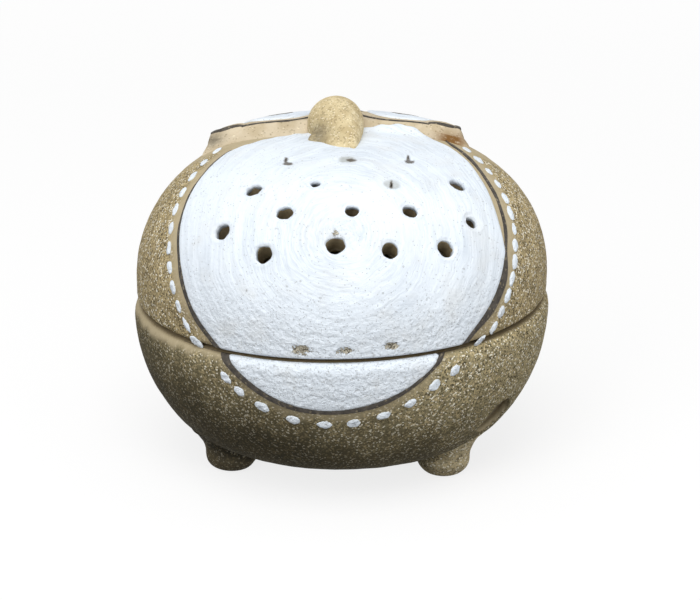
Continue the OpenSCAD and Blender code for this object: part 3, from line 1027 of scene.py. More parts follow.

# %% The bowl's marks
# Wiped are a faint ring and a band along the rim that widens to the left. The air hole's wall takes
# the pale wiped tone as painted light. The faces that meet the lid are painted as brown as a hole's
# wall, a painted shade in the seam, and the collar is a little paler.
JOINT_READS_AS = 1.2
COLLAR_READS_AS = 2.0
RIM_DEPTH = 0.3
bowl_points = points_of(bowl)
bowl_depth = depth_in_bowl(bowl_points)
away = ring_distance(bowl_points, LOWER_C, lambda angle: LOWER_R + 0 * angle)
ring = 0.4 * (1 - smooth_step(0.6, 2.2, away + 0.6 * ripple(bowl_points, 2.0, 12)))
band_width = 1.0 + 0.8 * smooth_step(-14, -32, bowl_points[:, 0]) + 0.5 * ripple(bowl_points, 1.6, 13)
band = smooth_step(-band_width - 0.5, -band_width + 0.9, bowl_points[:, 2] - SEAM_Z)
band *= 0.8 * smooth_step(6, -14, bowl_points[:, 0])
# Painted light: the air hole's wall takes the pale wiped tone, as if lit.
lit_air_hole_wall = np.linalg.norm(np.cross(bowl_points - air_point, air_normal), axis=1) < AIR_D / 2 + 0.15
lit_air_hole_wall &= (bowl_points @ air_normal[0] > 0) & (bowl_depth > 0.35)
band = np.maximum(band, np.where(lit_air_hole_wall, 0.7, 0))
mark(bowl, "wiped", np.clip(np.maximum(np.where(facing_belly(bowl_points), ring, 0), band), 0, 1))
# Painted shade: the faces in the seam take the dark brown of a hole's wall.
in_joint = np.hypot(bowl_points[:, 0], bowl_points[:, 1]) > COLLAR_OUT
rim_reads_as = np.where(in_joint, JOINT_READS_AS, COLLAR_READS_AS)
roughen(bowl, np.where(bowl_points[:, 2] > SEAM_Z - RIM_DEPTH, rim_reads_as, bowl_depth))
print("bowl marked:", len(bowl_points), "points")

# %% [markdown]
# ## Head, ears and beak
# The head's top is a grid over its plan, closed by an underside that lies hidden in the lid. Where
# the thickness runs out, the grid dips under the lid's skin, so the clay seems to grow out of it.
# The ears are two low caps on the front corners.

# %% Smooth head clay
def smooth_clay(name, light, deep, pale_share, dark_share):
    """Fine clay with a soft mottle, some specks, and painted shade in grey and in brown where the mesh is
    marked.
    """
    finish, tree, shader, place = new_finish(name)
    tone = blend(tree, ramp(tree, noise(tree, place, 3.0, 4), 0.3, 0.7), deep, light)
    fine_far, fine = cells(tree, place, 0.26)
    pale = above(tree, fine, 1 - pale_share)
    dark = below(tree, fine, dark_share)
    tone = blend(tree, times(tree, pale, 0.5), tone, colour(244, 234, 206))
    tone = blend(tree, times(tree, dark, 0.4), tone, colour(112, 94, 62))
    cloud = ramp(tree, noise(tree, place, 0.8, 4, 0.7), 0.2, 0.5)
    smudge = times(tree, read_mark(tree, "smudge"), cloud)
    tone = blend(tree, smudge, tone, colour(88, 82, 68))
    brown = times(tree, read_mark(tree, "brown"), cloud)
    tone = blend(tree, brown, tone, colour(122, 86, 42))
    relief = plus(tree, times(tree, fine_far, -0.5), noise(tree, place, 0.5, 4))
    set_look(tree, shader, tone, relief, strength=0.45, depth=0.1, rough=0.85, shine=0.35)
    return finish


head_clay = smooth_clay("head_smooth_clay", colour(210, 196, 170), colour(190, 174, 144), 0.02, 0.05)
beak_clay = smooth_clay("beak_golden_clay", colour(220, 204, 164), colour(186, 167, 126), 0.08, 0.18)
print("head clay:", len(head_clay.node_tree.nodes), "nodes")

# %% The head
HEAD_STEP = 0.3
SUNK = 0.35


def head_sections():
    """Sections across the head, from left to right: over the top and back underneath."""
    reach = HEAD_HALF + SIDE_SLOPE + 1
    x = np.linspace(-reach, reach, int(2 * reach / HEAD_STEP))
    front_y = HEAD_FRONT - FRONT_SLOPE - 1
    back_y = np.sqrt((HEAD_BACK + 0.8) ** 2 - x ** 2)
    share_back = np.linspace(0, 1, int((HEAD_BACK - front_y) / HEAD_STEP))
    y = front_y + (back_y - front_y)[:, None] * share_back
    x = np.repeat(x[:, None], len(share_back), axis=1)
    points, normals = dome(x, y)
    height = head_height(x, y)
    top = height - SUNK * (1 - smooth_step(0, 0.4, height)) + 0.05 * ripple(points, 2.4, 21)
    over = points + top[..., None] * normals
    under = points - (SUNK + 0.6) * normals
    return np.concatenate([over, under[:, ::-1]], axis=1)


def near_point(points, at, size):
    """1 close to a place, fading over a size."""
    return np.exp(-np.sum(((points - at) / size) ** 2, axis=-1))


head = dress(loft("head", head_sections()), head_clay)
head_points = points_of(head)
# Painted shade at the head's front corners: brown at the right, grey at the left.
shaded_right_corner = np.array([HEAD_RIGHT - 1.2, HEAD_FRONT - 1.4, 53.4])
shaded_left_corner = np.array([-HEAD_HALF, HEAD_FRONT - 0.3, 53.2])
mark(head, "brown", np.clip(1.5 * near_point(head_points, shaded_right_corner, np.array([2.8, 2.6, 1.8])), 0, 1))
mark(head, "smudge", 0.9 * near_point(head_points, shaded_left_corner, np.array([2.0, 1.6, 1.2])))
move_points(head, by_hand(head_points))
print("head:", len(head.data.polygons), "faces")

# %% [markdown]
# A round patch on a surface is needed many times: the belly's slip, ears, eyes and pupils. A disc
# with a Solidify modifier would have the edge of a coin. This one is a stack of rings, from the
# middle of the top out to the edge and back underneath, so the loft closes it, and its thickness
# falls to nothing at the edge, as slip does.

# %% Round patches
EDGE_RINGS = np.array([0.7, 0.5, 0.34, 0.2, 0.09, 0.02, 0.0])
LAYER_UNDER = 0.3
MIDDLE = 0.03
RINGS_APART_BELOW = 4


def patch(name, surface, centre, edge, rings, thickness, lift=0.0, angles=360, softness=0.5,
          under=LAYER_UNDER):
    """A closed patch on a surface round a centre: edge in millimetres per angle, thickness by place."""
    angle = np.linspace(0, FULL_TURN, angles, endpoint=False)
    limit = edge(angle)
    inner = np.linspace(MIDDLE, 1, rings, endpoint=False)[:, None] * (limit - EDGE_RINGS[0])
    radius = np.concatenate([inner, limit - EDGE_RINGS[:, None]])
    u, v = on_plane(centre, radius, angle)
    points, normals = surface(u, v)
    inward = np.clip((limit - radius) / softness, 0, 1)
    top = lift + thickness(points) * np.sqrt(1 - (1 - inward) ** 2)
    over = points + top[..., None] * normals
    picked = np.arange(0, len(radius), RINGS_APART_BELOW)[::-1]
    underside = points[picked] + (lift - under) * normals[picked]
    return loft(name, np.concatenate([over, underside]))


def round_edge(radius):
    """A hand-drawn round of that radius."""
    return lambda angle: radius * (1 + 0.03 * np.sin(3 * angle + radius) + 0.02 * np.sin(5 * angle))


def even(thickness):
    """A thickness with a slight ripple."""
    return lambda points: thickness + 0.03 * ripple(points, 1.5, 31)


print("patches fade over their last", EDGE_RINGS[0], "mm")

# %% Ears
EAR_RISE = 0.6
EAR_RADIUS = 3.4
EAR_MIDDLES = {"left": (-HEAD_HALF + EAR_RADIUS - 1.2, HEAD_FRONT + EAR_RADIUS - 1.4),
               "right": (HEAD_RIGHT - EAR_RADIUS + 1.2, HEAD_FRONT + EAR_RADIUS - 1.4)}


def ear_height(x, y):
    """Thickness of the ears' clay over the head at (x, y)."""
    height = 0 * x
    for middle in EAR_MIDDLES.values():
        inward = np.clip(1 - np.hypot(x - middle[0], y - middle[1]) / EAR_RADIUS, 0, 1)
        height = np.maximum(height, EAR_RISE * np.sqrt(1 - (1 - inward) ** 2))
    return height


ears = {}
for word, middle in EAR_MIDDLES.items():
    ear = patch("ear_" + word, face_skin, middle, round_edge(EAR_RADIUS), 12, even(EAR_RISE),
                angles=72, softness=EAR_RADIUS)
    # The ears take the head's painted shade at the front corners.
    mark(ear, "brown", 0.8 * near_point(points_of(ear), shaded_right_corner, np.array([3.2, 3.0, 2.0])))
    mark(ear, "smudge", 0.9 * near_point(points_of(ear), shaded_left_corner, np.array([2.2, 1.8, 1.4])))
    ears[word] = take_wave(dress(ear, head_clay))
print("ears:", [len(ear.data.polygons) for ear in ears.values()], "faces")

# %% [markdown]
# The beak is a ball of clay drawn out to a point and pressed onto the dome. It could be sculpted from
# a ball; lofted from rings along its axis, its length and turn stay named sizes. A thin smear of clay
# is laid under it, as the thumb left it. A voxel remesh then makes one body of both and rounds the
# tip, so the beak ends up shorter than it is drawn.

# %% The beak's ball and point
BEAK_BULB = 5.0
BEAK_LEN = 12.6
BEAK_TURN = math.radians(15)
BEAK_PITCH = math.radians(3)
BEAK_DROOP = 0.7
BEAK_AT = np.array([-1.1, 6.5, CROWN_TOP + 1.3])
BEAK_VOXEL = 0.22
BEAK_SOFTENING = 10
BEAK_TAPER = 0.82
SMEAR_AT = (-0.6, 2.6)
SMEAR_R = 3.4
SMEAR_LOBES = ((280, 4.2, 0.6), (205, 2.4, 0.55))

beak_axis = np.array([math.cos(BEAK_PITCH) * math.sin(BEAK_TURN), -math.cos(BEAK_PITCH) * math.cos(BEAK_TURN),
                      -math.sin(BEAK_PITCH)])
beak_side = np.array([math.cos(BEAK_TURN), math.sin(BEAK_TURN), 0])
beak_up = np.cross(beak_side, beak_axis)
back_half = BEAK_BULB * -np.cos(np.linspace(0.08, QUARTER, 16))
along = np.concatenate([back_half, np.linspace(0.4, BEAK_LEN - 0.15, 26)])
tangent = BEAK_BULB ** 2 / BEAK_LEN
drawn = np.clip((along - tangent) / (BEAK_LEN - tangent), 0, 1)
ball = np.sqrt(np.clip(BEAK_BULB ** 2 - np.minimum(along, tangent) ** 2, 0, None))
ring_r = np.where(along < tangent, ball, np.sqrt(BEAK_BULB ** 2 - tangent ** 2) * (1 - drawn) ** BEAK_TAPER)
round_angle = np.linspace(0, FULL_TURN, 48, endpoint=False)
ring_shape = np.cos(round_angle)[:, None] * beak_side + np.sin(round_angle)[:, None] * beak_up
centres = BEAK_AT + along[:, None] * beak_axis - (BEAK_DROOP * drawn ** 2)[:, None] * np.array([0, 0, 1])
beak = loft("beak", centres[:, None] + ring_r[:, None, None] * ring_shape)
print("beak as drawn:", len(beak.data.polygons), "faces")


# %% The smear, and one body of both
def smear_edge(angle):
    """The smear runs along the beak to its tip, and reaches out to the left."""
    reach = SMEAR_R
    for degrees, far, wide in SMEAR_LOBES:
        reach = reach + far * np.exp(-((angle - math.radians(degrees)) / wide) ** 2)
    return reach + 0.08 * np.sin(9 * angle)


def smear_thickness(points):
    """The smear thickens towards the ball that it runs out of."""
    far = np.hypot(points[..., 0] - SMEAR_AT[0], points[..., 1] - SMEAR_AT[1])
    return 0.6 + 2.0 * np.exp(-(far / 4.5) ** 2)


smear = patch("smear", face_skin, SMEAR_AT, smear_edge, 14, smear_thickness, angles=96, softness=1.3,
              under=1.2)
beak = even_skin(join("beak", [beak, smear]), BEAK_VOXEL, BEAK_SOFTENING)
beak_points = points_of(beak)
beak_dents = 0.07 * ripple(beak_points, 2.2, 41) + 0.03 * ripple(beak_points, 0.8, 42)
beak_points += beak_dents[:, None] * normals_of(beak)
# Painted shade: a grey patch on the beak's left side.
left_cheek = BEAK_AT + np.array([-2.6, -5.4, -1.0])
mark(beak, "smudge", near_point(beak_points, left_cheek, np.array([2.2, 3.0, 2.0])))
mark(beak, "brown", 0.0 * beak_points[:, 0])
move_points(beak, by_hand(beak_points))
beak.data.shade_smooth()
dress(beak, beak_clay)
print("beak:", len(beak.data.polygons), "faces")

# %% [markdown]
# ## White slip
# The belly was brushed on with white slip, round and round, and the brush left fine ridges. The
# finish reads three marks, the radius round the belly and the direction's two parts, and stretches
# noise along the turn. Three more marks say where the slip is thin, cracked or chipped off to the
# clay; the cracks are painted dark brown, as painted shade. Pits and specks come on top, painted grey
# as the shade in small hollows, and towards the seam the slip is rougher, with grey patches of painted
# shade that also cover the bowl's slip.

# %% The slip's finish
def white_slip(name):
    """White slip: brush streaks, painted shade in specks, pits, cracks and low grey patches, thin places,
    chips.
    """
    finish, tree, shader, place = new_finish(name)
    radius = read_mark(tree, "stroke_radius")
    wobble = times(tree, noise(tree, place, 6, 2), 2.4)
    path = put(tree, "ShaderNodeCombineXYZ",
               {0: plus(tree, radius, wobble), 1: read_mark(tree, "stroke_side"),
                2: read_mark(tree, "stroke_up")})
    stroke = put(tree, "ShaderNodeMapping", {"Vector": path.outputs[0], "Scale": (2.6, 2.4, 2.4)},
                 vector_type="POINT")
    streak = put(tree, "ShaderNodeTexNoise", {"Vector": stroke.outputs[0], "Scale": 1.0, "Detail": 5.0,
                                              "Roughness": 0.65}).outputs["Fac"]
    shown = scaled(tree, ramp(tree, noise(tree, place, 11, 2), 0.35, 0.65), 0.65, 0.2)
    height = put(tree, "ShaderNodeSeparateXYZ", {0: place}).outputs["Z"]
    low = ramp(tree, height, 44 * MM, 30 * MM)
    brushed = times(tree, ramp(tree, streak, 0.7, 0.3), shown)
    brushed = times(tree, brushed, scaled(tree, low, -0.5, 1.0))
    tone = blend(tree, brushed, colour(236, 244, 252), colour(208, 217, 227))
    cloud = ramp(tree, noise(tree, place, 5, 3), 0.45, 0.75)
    tone = blend(tree, times(tree, cloud, 0.3), tone, colour(222, 222, 218))
    # Specks and pits: small real hollows, painted grey as the shade in them.
    speck_far, speck_chance = cells(tree, place, 0.22)
    shaded_speck = above(tree, speck_chance, scaled(tree, low, -0.08, 0.97))
    shaded_speck = times(tree, shaded_speck, below(tree, speck_far, 0.5))
    tone = blend(tree, times(tree, shaded_speck, 0.4), tone, colour(142, 141, 138))
    # Painted shade: grey patches that grow from above the seam downwards.
    low_shade = times(tree, ramp(tree, noise(tree, place, 0.75, 4, 0.7), 0.56, 0.68),
                 ramp(tree, height, 37 * MM, 29 * MM))
    tone = blend(tree, times(tree, low_shade, 0.4), tone, colour(164, 161, 153))
    pit_far, pit = cells(tree, place, 1.1)
    shaded_pit = times(tree, above(tree, pit, 0.93), below(tree, pit_far, 0.17))
    tone = blend(tree, times(tree, shaded_pit, 0.35), tone, colour(132, 130, 124))
    tone = blend(tree, read_mark(tree, "thin"), tone, colour(176, 179, 176))
    # Painted shade: the cracks are painted dark brown.
    tone = blend(tree, times(tree, read_mark(tree, "crack"), 0.85), tone, colour(74, 58, 34))
    torn = scaled(tree, noise(tree, place, 0.5, 5, 0.7), 2.4, -1.2)
    bare = ramp(tree, plus(tree, read_mark(tree, "bare"), torn), 0.42, 0.55)
    tone = blend(tree, bare, tone, blend(tree, speck_chance, colour(72, 66, 52), colour(210, 203, 184)))
    plaster = times(tree, noise(tree, place, 0.9, 4, 0.6), scaled(tree, low, 2.7, 0.5))
    ridges = times(tree, streak, scaled(tree, low, -0.55, 1.0))
    relief = plus(tree, ridges, plaster)
    relief = minus(tree, relief, times(tree, bare, 1.2))
    relief = minus(tree, relief, times(tree, shaded_pit, 0.8))
    relief = minus(tree, relief, times(tree, shaded_speck, 0.4))
    set_look(tree, shader, tone, relief, strength=0.8, depth=0.2, rough=0.8, shine=0.3)
    return finish


slip = white_slip("brushed_white_slip")
print("slip:", len(slip.node_tree.nodes), "nodes")

# %% [markdown]
# The white could be a colour on the clay, but slip has a thickness that shows at every hole and chip,
# so it is a piece of its own. On the lid it is one large patch. It thins towards each open hole and
# curls into it, and it dips over the four holes that it closes. It has come off in three chips just
# above the seam and at one small place above a hole. The piercing tree opens the holes in it and
# slits the cracks.

# %% Outline, chips and brush strokes
SLIP_T = 0.34
STROKE_DRAWN = 3.0
SLIP_RINGS = 84
SLIP_ANGLES = 600
CURL_REACH = 2.0
CURL_DEPTH = 0.15
NOTCH = (1, 2.3)
DIMPLE = 0.3
CHIPS = ((-6.6, 30.7, 2.3), (0.5, 30.6, 1.7), (8.0, 31.0, 1.7))
THIN_HOLES = {11: 0.7, 14: 0.85}


def slip_outline(angle):
    """Radius of the white on the lid, cut off by the seam and by the two lobes."""
    return farthest(BELLY_C, angle, belly_edge(angle), belly_on_lid)


def chipped(points):
    """1 where the slip has come off above the seam."""
    bare = np.zeros(points.shape[:-1])
    for x, z, wide in CHIPS:
        far = np.hypot((points[..., 0] - x) / wide, (points[..., 2] - z) / (0.45 * wide))
        front_side = points[..., 1] < 0
        bare = np.maximum(bare, np.where(front_side, 1.15 - far, 0))
    notch = hole_points[NOTCH[0]] + NOTCH[1] * UP_BELLY
    bare = np.maximum(bare, 1.3 - np.linalg.norm((points - notch) / (0.6, 0.9, 0.9), axis=-1))
    return np.clip(bare, 0, 1)


def stroke_marks(points, centre):
    """Radius round the belly's centre, in the belly's plane, and the direction's two parts."""
    u, v = in_plane(points, centre)
    radius = np.hypot(u, v) + TINY
    return radius, u / radius, v / radius


def stroke_path(points):
    """Points along the brush: noise on them is drawn out round the belly."""
    radius, side, up = stroke_marks(points, BELLY_C)
    return np.stack([radius, STROKE_DRAWN * side, STROKE_DRAWN * up], axis=-1)


print("brush drawn out", STROKE_DRAWN, "times,", len(CHIPS), "chips")


# %% Thickness of the lid's slip
def slip_thickness(points):
    """Thickness of the lid's slip: brush ridges, curls at the holes, dips and chips."""
    path = stroke_path(points)
    thick = SLIP_T + 0.05 * ripple(path, 0.7, 52) + 0.04 * ripple(path, 1.6, 53)
    thick = thick + 0.03 * ripple(points, 0.8, 54)
    for number, place in enumerate(hole_points):
        far = np.linalg.norm(points - place, axis=-1)
        if number in CLOSED_HOLES:
            thick = thick - DIMPLE * np.exp(-(far / 1.2) ** 2)
        else:
            bent = np.clip((CURL_REACH - far) / (CURL_REACH - HOLE_D / 2), 0, 1.2)
            thick = thick + 0.1 * np.exp(-((far - CURL_REACH) / 0.28) ** 2) - CURL_DEPTH * bent ** 2
    return thick - 0.2 * smooth_step(0.2, 0.8, chipped(points))


print("slip", SLIP_T, "mm thick")


# %% Marks on the slip
def mark_slip(piece):
    """Keeps the slip's marks, shakes the edges of the holes, moves the piece with the wave."""
    points = points_of(piece)
    for name, values in zip(("stroke_radius", "stroke_side", "stroke_up"), stroke_marks(points, BELLY_C)):
        mark(piece, name, values)
    mark(piece, "bare", chipped(points))
    thin = np.zeros(len(points))
    for number, share in THIN_HOLES.items():
        far = np.linalg.norm(points - hole_points[number], axis=-1)
        thin = np.maximum(thin, share * (1 - smooth_step(1.0, 1.7, far)))
    mark(piece, "thin", thin)
    # The crack mark paints dark brown shade round each slit.
    crack = np.zeros(len(points))
    for place, (across, along_up, _) in zip(crack_points, crack_sizes):
        far = np.hypot((points[:, 0] - place[0]) / (across + 0.12),
                       (points - place) @ UP_BELLY / (along_up + 0.12))
        crack = np.maximum(crack, np.where(points[:, 1] < place[1] + 2, 1 - smooth_step(0.9, 1.4, far), 0))
    mark(piece, "crack", crack)
    nearest = np.min([np.linalg.norm(points - place, axis=-1) for place in hole_points], axis=0)
    jagged = 0.13 * (1 - smooth_step(1.8, 2.6, nearest))
    shake = np.stack([ripple(points, 0.8, seed) for seed in (81, 82, 83)], axis=-1)
    move_points(piece, by_hand(points + jagged[:, None] * shake))
    return dress(piece, slip)


print("thin over", len(THIN_HOLES), "holes, cracked at", len(crack_points), "places")

# %% Slip on the lid
slip_lid = patch("belly_slip_lid", belly_skin, BELLY_C, slip_outline, SLIP_RINGS, slip_thickness,
                 angles=SLIP_ANGLES, under=0.9)
use_tree(slip_lid, pierce, Marks=slip_marks, Width=SLIP_HOLE_D * MM, Length=DRILL_LEN * MM, Spread=0.07,
         Seed=DRILL_SEED, Clay=slip)
tidy(settle(slip_lid))
mark_slip(slip_lid)
print("slip on the lid:", len(slip_lid.data.polygons), "faces")

# %% [markdown]
# On the bowl the white goes on below the seam, which cuts straight through the round. So this piece is
# a strip lofted along the outline: each section runs from the seam down to the outline and back
# underneath.

# %% Slip on the bowl
def strip(name, surface, centre, angle, inner, outer, across, thickness, softness=0.5):
    """A closed strip along an outline, between two radii given for each angle."""
    share_across = np.linspace(0, 1, across)
    radius = inner[:, None] + (outer - inner)[:, None] * share_across
    u, v = on_plane(centre, radius, angle[:, None])
    points, normals = surface(u, v)
    rim = np.minimum(radius - inner[:, None], outer[:, None] - radius)
    inward = np.clip(rim / softness, 0, 1)
    over = points + (thickness(points) * np.sqrt(1 - (1 - inward) ** 2))[..., None] * normals
    underside = points - LAYER_UNDER * normals
    return loft(name, np.concatenate([over, underside[:, ::-1]], axis=1))


NARROWEST_SLIP = 0.4
LOWER_SLIP_T = 0.3


def bowl_slip_thickness(points):
    """Thickness of the bowl's slip: brush ridges and grit."""
    return LOWER_SLIP_T + 0.05 * ripple(stroke_path(points), 0.8, 55) + 0.04 * ripple(points, 0.9, 56)


low_angle = np.radians(np.linspace(206, 334, 420))
low_angle = low_angle[seam_radius(low_angle) < LOWER_R - NARROWEST_SLIP]
lower_edge = LOWER_R + 0.1 * np.sin(6 * low_angle)
slip_bowl = strip("belly_slip_base", skin, LOWER_C, low_angle, seam_radius(low_angle), lower_edge, 44,
                  bowl_slip_thickness)
mark_slip(slip_bowl)
print("slip on the bowl:", len(slip_bowl.data.polygons), "faces")

# %% [markdown]
# ## The dark line
# A line of iron-brown slip goes round the white. A bevelled curve would look like a cord laid on, and
# a brushed line is flat, so it is a strip along the same outline. On the lid it is thin at the top
# and swells to the lower right, where the brush was loaded, and the seam cuts it off.

# %% Iron slip
def iron_slip(name):
    """Brown-black slip, mottled, with worn specks."""
    finish, tree, shader, place = new_finish(name)
    mottle = ramp(tree, noise(tree, place, 1.1, 5, 0.7), 0.3, 0.7)
    tone = blend(tree, mottle, colour(44, 40, 36), colour(86, 80, 72))
    far, chance = cells(tree, place, 0.3)
    worn = times(tree, above(tree, chance, 0.93), 0.5)
    tone = blend(tree, worn, tone, colour(150, 138, 112))
    relief = plus(tree, noise(tree, place, 0.4, 4), times(tree, far, -0.4))
    set_look(tree, shader, tone, relief, strength=0.5, depth=0.1, rough=0.7, shine=0.4)
    return finish


iron = iron_slip("iron_brown_slip")
print("iron slip:", len(iron.node_tree.nodes), "nodes")

# %% The line on the lid
LINE_T = 0.2
LINE_TUCK = 0.3
LINE_ACROSS = 9
LINE_SOFT = 0.3
LINE_LEAST = 0.01
LEFT_LINE = (137, 224)
RIGHT_LINE = (-43, 48)


def line_width(angle):
    """Width of the lid's line: thin above, loaded at the lower right."""
    loaded = smooth_step(math.radians(0), math.radians(-17), angle)
    loaded = loaded * (1 - 0.6 * smooth_step(math.radians(-20), math.radians(-40), angle))
    lower = 0.45 * smooth_step(0.5, -0.6, np.sin(angle)) * (np.cos(angle) < 0)
    return 0.28 + lower + loaded + 0.05 * np.sin(23 * angle)


def line_thickness(points):
    """A thin layer with a slight ripple."""
    return LINE_T + 0.04 * ripple(points, 0.7, 61)


line_parts = []
for first, last in (LEFT_LINE, RIGHT_LINE):
    angle = np.radians(np.linspace(first, last, 300))
    whole_turn = np.mod(angle, FULL_TURN)
    edge = belly_edge(whole_turn)
    ends = np.clip(np.minimum(angle - angle[0], angle[-1] - angle) / 0.06, 0.05, 1)
    inner = farthest(BELLY_C, angle, edge - LINE_TUCK * ends, above_seam)
    outer = farthest(BELLY_C, angle, edge + line_width(angle) * np.sqrt(ends), above_seam)
    outer = np.maximum(outer, inner + LINE_LEAST)
    line_parts.append(strip("line_part", belly_skin, BELLY_C, angle, inner, outer, LINE_ACROSS,
                            line_thickness, LINE_SOFT))
line_lid = take_wave(dress(join("belly_line_lid", line_parts), iron))
print("line on the lid:", len(line_lid.data.polygons), "faces")

# %% The line on the bowl
line_angle = np.radians(np.linspace(200, 340, 360))
seam_at = seam_radius(line_angle)
inner = np.maximum(LOWER_R - LINE_TUCK, seam_at)
low_width = 0.6 + 0.25 * smooth_step(0.2, -0.9, np.cos(line_angle)) + 0.06 * np.sin(9 * line_angle)
outer = np.maximum(LOWER_R + low_width, seam_at + LINE_LEAST)
line_bowl = strip("belly_line_base", skin, LOWER_C, line_angle, inner, outer, LINE_ACROSS,
                  line_thickness, LINE_SOFT)
take_wave(dress(line_bowl, iron))
print("line on the bowl:", len(line_bowl.data.polygons), "faces")

# %% [markdown]
# ## Dabs of white
# Outside the line, the brush set a row of small white dabs. They repeat along a path, which is work
# for Geometry Nodes: points along the outline carry a direction to lie along and one that points
# out; the tree lays a flat lens on each, varies its size from a fixed seed, and roughens it.

# %% The dab tree
DAB_T = 0.56
DAB_BUMP = 0.9

dabs, given = new_tree("dabs", [("Length", "NodeSocketFloat"), ("Width", "NodeSocketFloat"),
                                ("Thickness", "NodeSocketFloat"), ("Spread", "NodeSocketFloat"),
                                ("Roughness", "NodeSocketFloat"), ("Seed", "NodeSocketInt"),
                                ("Slip", "NodeSocketMaterial")])
lens = put(dabs, "GeometryNodeMeshIcoSphere", {"Radius": 0.5, "Subdivisions": 4})
size = put(dabs, "ShaderNodeCombineXYZ", {0: given["Length"], 1: given["Width"], 2: given["Thickness"]})
lie = put(dabs, "FunctionNodeAlignRotationToVector", {"Vector": kept_direction(dabs, "ahead")}, axis="X")
lie_flat = put(dabs, "FunctionNodeAlignRotationToVector",
               {"Rotation": lie.outputs[0], "Vector": kept_direction(dabs, "aim")}, axis="Z", pivot_axis="X")
grown = vector_node(dabs, "MULTIPLY", size.outputs[0],
                    uneven_sizes(dabs, given["Spread"], given["Seed"], "XYZ"))
laid = put(dabs, "GeometryNodeInstanceOnPoints",
           {"Points": given["Geometry"], "Instance": lens.outputs["Mesh"], "Rotation": lie_flat.outputs[0],
            "Scale": grown})
real = put(dabs, "GeometryNodeRealizeInstances", {"Geometry": laid.outputs[0]})
bumps = put(dabs, "ShaderNodeTexNoise", {"Scale": 1 / (DAB_BUMP * MM), "Detail": 2.0})
centred = vector_node(dabs, "SUBTRACT", bumps.outputs["Color"], (0.5, 0.5, 0.5))
shift = put(dabs, "ShaderNodeVectorMath", {0: centred, "Scale": given["Roughness"]}, operation="SCALE")
rough_dabs = put(dabs, "GeometryNodeSetPosition", {"Geometry": real.outputs[0], "Offset": shift.outputs[0]})
soft_dabs = put(dabs, "GeometryNodeSetShadeSmooth", {"Geometry": rough_dabs.outputs[0]})
finish_tree(dabs, soft_dabs.outputs[0], given["Slip"])
print("dab tree:", len(dabs.nodes), "nodes")

# %% Dabs on lid and bowl
DAB_OFF = 1.8
LID_RUNS = ((140, 213.6, 12), (40, -30.2, 13))
LAST_DAB = (-36.5, 1.15)
LOW_ANGLES = (221.5, 229, 240, 253.5, 266, 277.5, 289.5, 301, 312.5, 322)
LOW_OFFS = (2.15, 2.15, 2.15, 2.15, 2.15, 2.15, 2.15, 2.3, 2.4, 3.2)


def dab_row(name, centre, radius, degrees, length, width):
    """A row of dabs along arcs round a centre."""
    angle = np.radians(degrees)
    points, normals = skin(*on_plane(centre, radius, angle))
    ahead_points, _ = skin(*on_plane(centre, radius, angle + 0.02))
    row = hole_marks(name, points, normals)
    row.hide_render = False
    mark_directions(row, "ahead", ahead_points - points)
    use_tree(row, dabs, Length=length * MM, Width=width * MM, Thickness=DAB_T * MM, Spread=0.2,
             Roughness=0.5 * MM, Seed=3, Slip=slip)
    settle(row)
    return mark_slip(row)


lid_angles = np.concatenate([np.linspace(*run) for run in LID_RUNS])
lid_offs = DAB_OFF - 0.55 * smooth_step(0.1, 0.65, np.sin(np.radians(lid_angles)))
lid_angles = np.append(lid_angles, LAST_DAB[0])
lid_offs = np.append(lid_offs, LAST_DAB[1])
dabs_lid = dab_row("dabs_lid", BELLY_C, BELLY_R + lid_offs, lid_angles, 2.6, 1.35)
dabs_base = dab_row("dabs_base", LOWER_C, LOWER_R + np.array(LOW_OFFS), np.array(LOW_ANGLES), 2.5, 1.6)
print("dabs:", len(dabs_lid.data.polygons), "faces on the lid,", len(dabs_base.data.polygons), "on the bowl")

# %% [markdown]
# ## The eyes
# Two white discs lie on the head behind the ridge, with a dark pupil each. Only their front edge
# shows in the photograph. They are patches like the belly. A dark brow line runs along the ridge and
# goes on round each eye: a smooth loop through a few points, which a hand can move one by one.

# %% Brow lines
EYE_X = 11.0
EYE_BACK = 17.6
BROW_WIDTH = 0.55
BROWS = {-1: ((10.8, -8.55), (3.4, -8.7), (-3.3, -8.4), (-6.6, -4.0), (-7.0, 2.0), (-3.5, 6.4), (2.5, 7.2),
              (6.6, 4.2), (8.6, -1.6)),
         1: ((8.9, -8.5), (2.4, -8.7), (-4.3, -8.4), (-8.0, -4.0), (-8.4, 2.0), (-4.5, 6.4), (1.5, 7.2),
             (5.6, 4.2), (7.4, -1.6))}


def brow_loop(side, offset):
    """A smooth closed loop through the brow's points, moved outwards by an offset."""
    knots = np.array(BROWS[side]) * (side, 1) + (side * EYE_X, EYE_BACK)
    t = np.linspace(0, 1, 40, endpoint=False)[:, None]
    parts = []
    for i in range(len(knots)):
        a, b, c, d = (knots[(i + j - 1) % len(knots)] for j in range(4))
        parts.append(0.5 * (2 * b + (c - a) * t + (2 * a - 5 * b + 4 * c - d) * t ** 2
                            + (3 * b - a - 3 * c + d) * t ** 3))
    loop = np.concatenate(parts)
    ahead = np.roll(loop, -1, axis=0) - np.roll(loop, 1, axis=0)
    out_of = np.stack([ahead[:, 1], -ahead[:, 0]], axis=-1) / np.linalg.norm(ahead, axis=1)[:, None]
    return loop + offset * out_of


def brow_line(name, side):
    """The dark ribbon along the loop, laid over head and ear."""
    across = np.linspace(-1, 1, 7)
    loops = [brow_loop(side, BROW_WIDTH / 2 * a) for a in across]
    flat = np.stack(loops, axis=1)
    points, normals = face_skin(flat[..., 0], flat[..., 1])
    points = points + ear_height(flat[..., 0], flat[..., 1])[..., None] * normals
    height = LINE_T * np.sqrt(1 - 0.95 * across ** 4)
    over = points + height[None, :, None] * normals
    underside = points - LAYER_UNDER * normals
    return loft(name, np.concatenate([over, underside[:, ::-1]], axis=1), ring=True)


print("brow lines", BROW_WIDTH, "mm wide through", len(BROWS[1]), "points each")

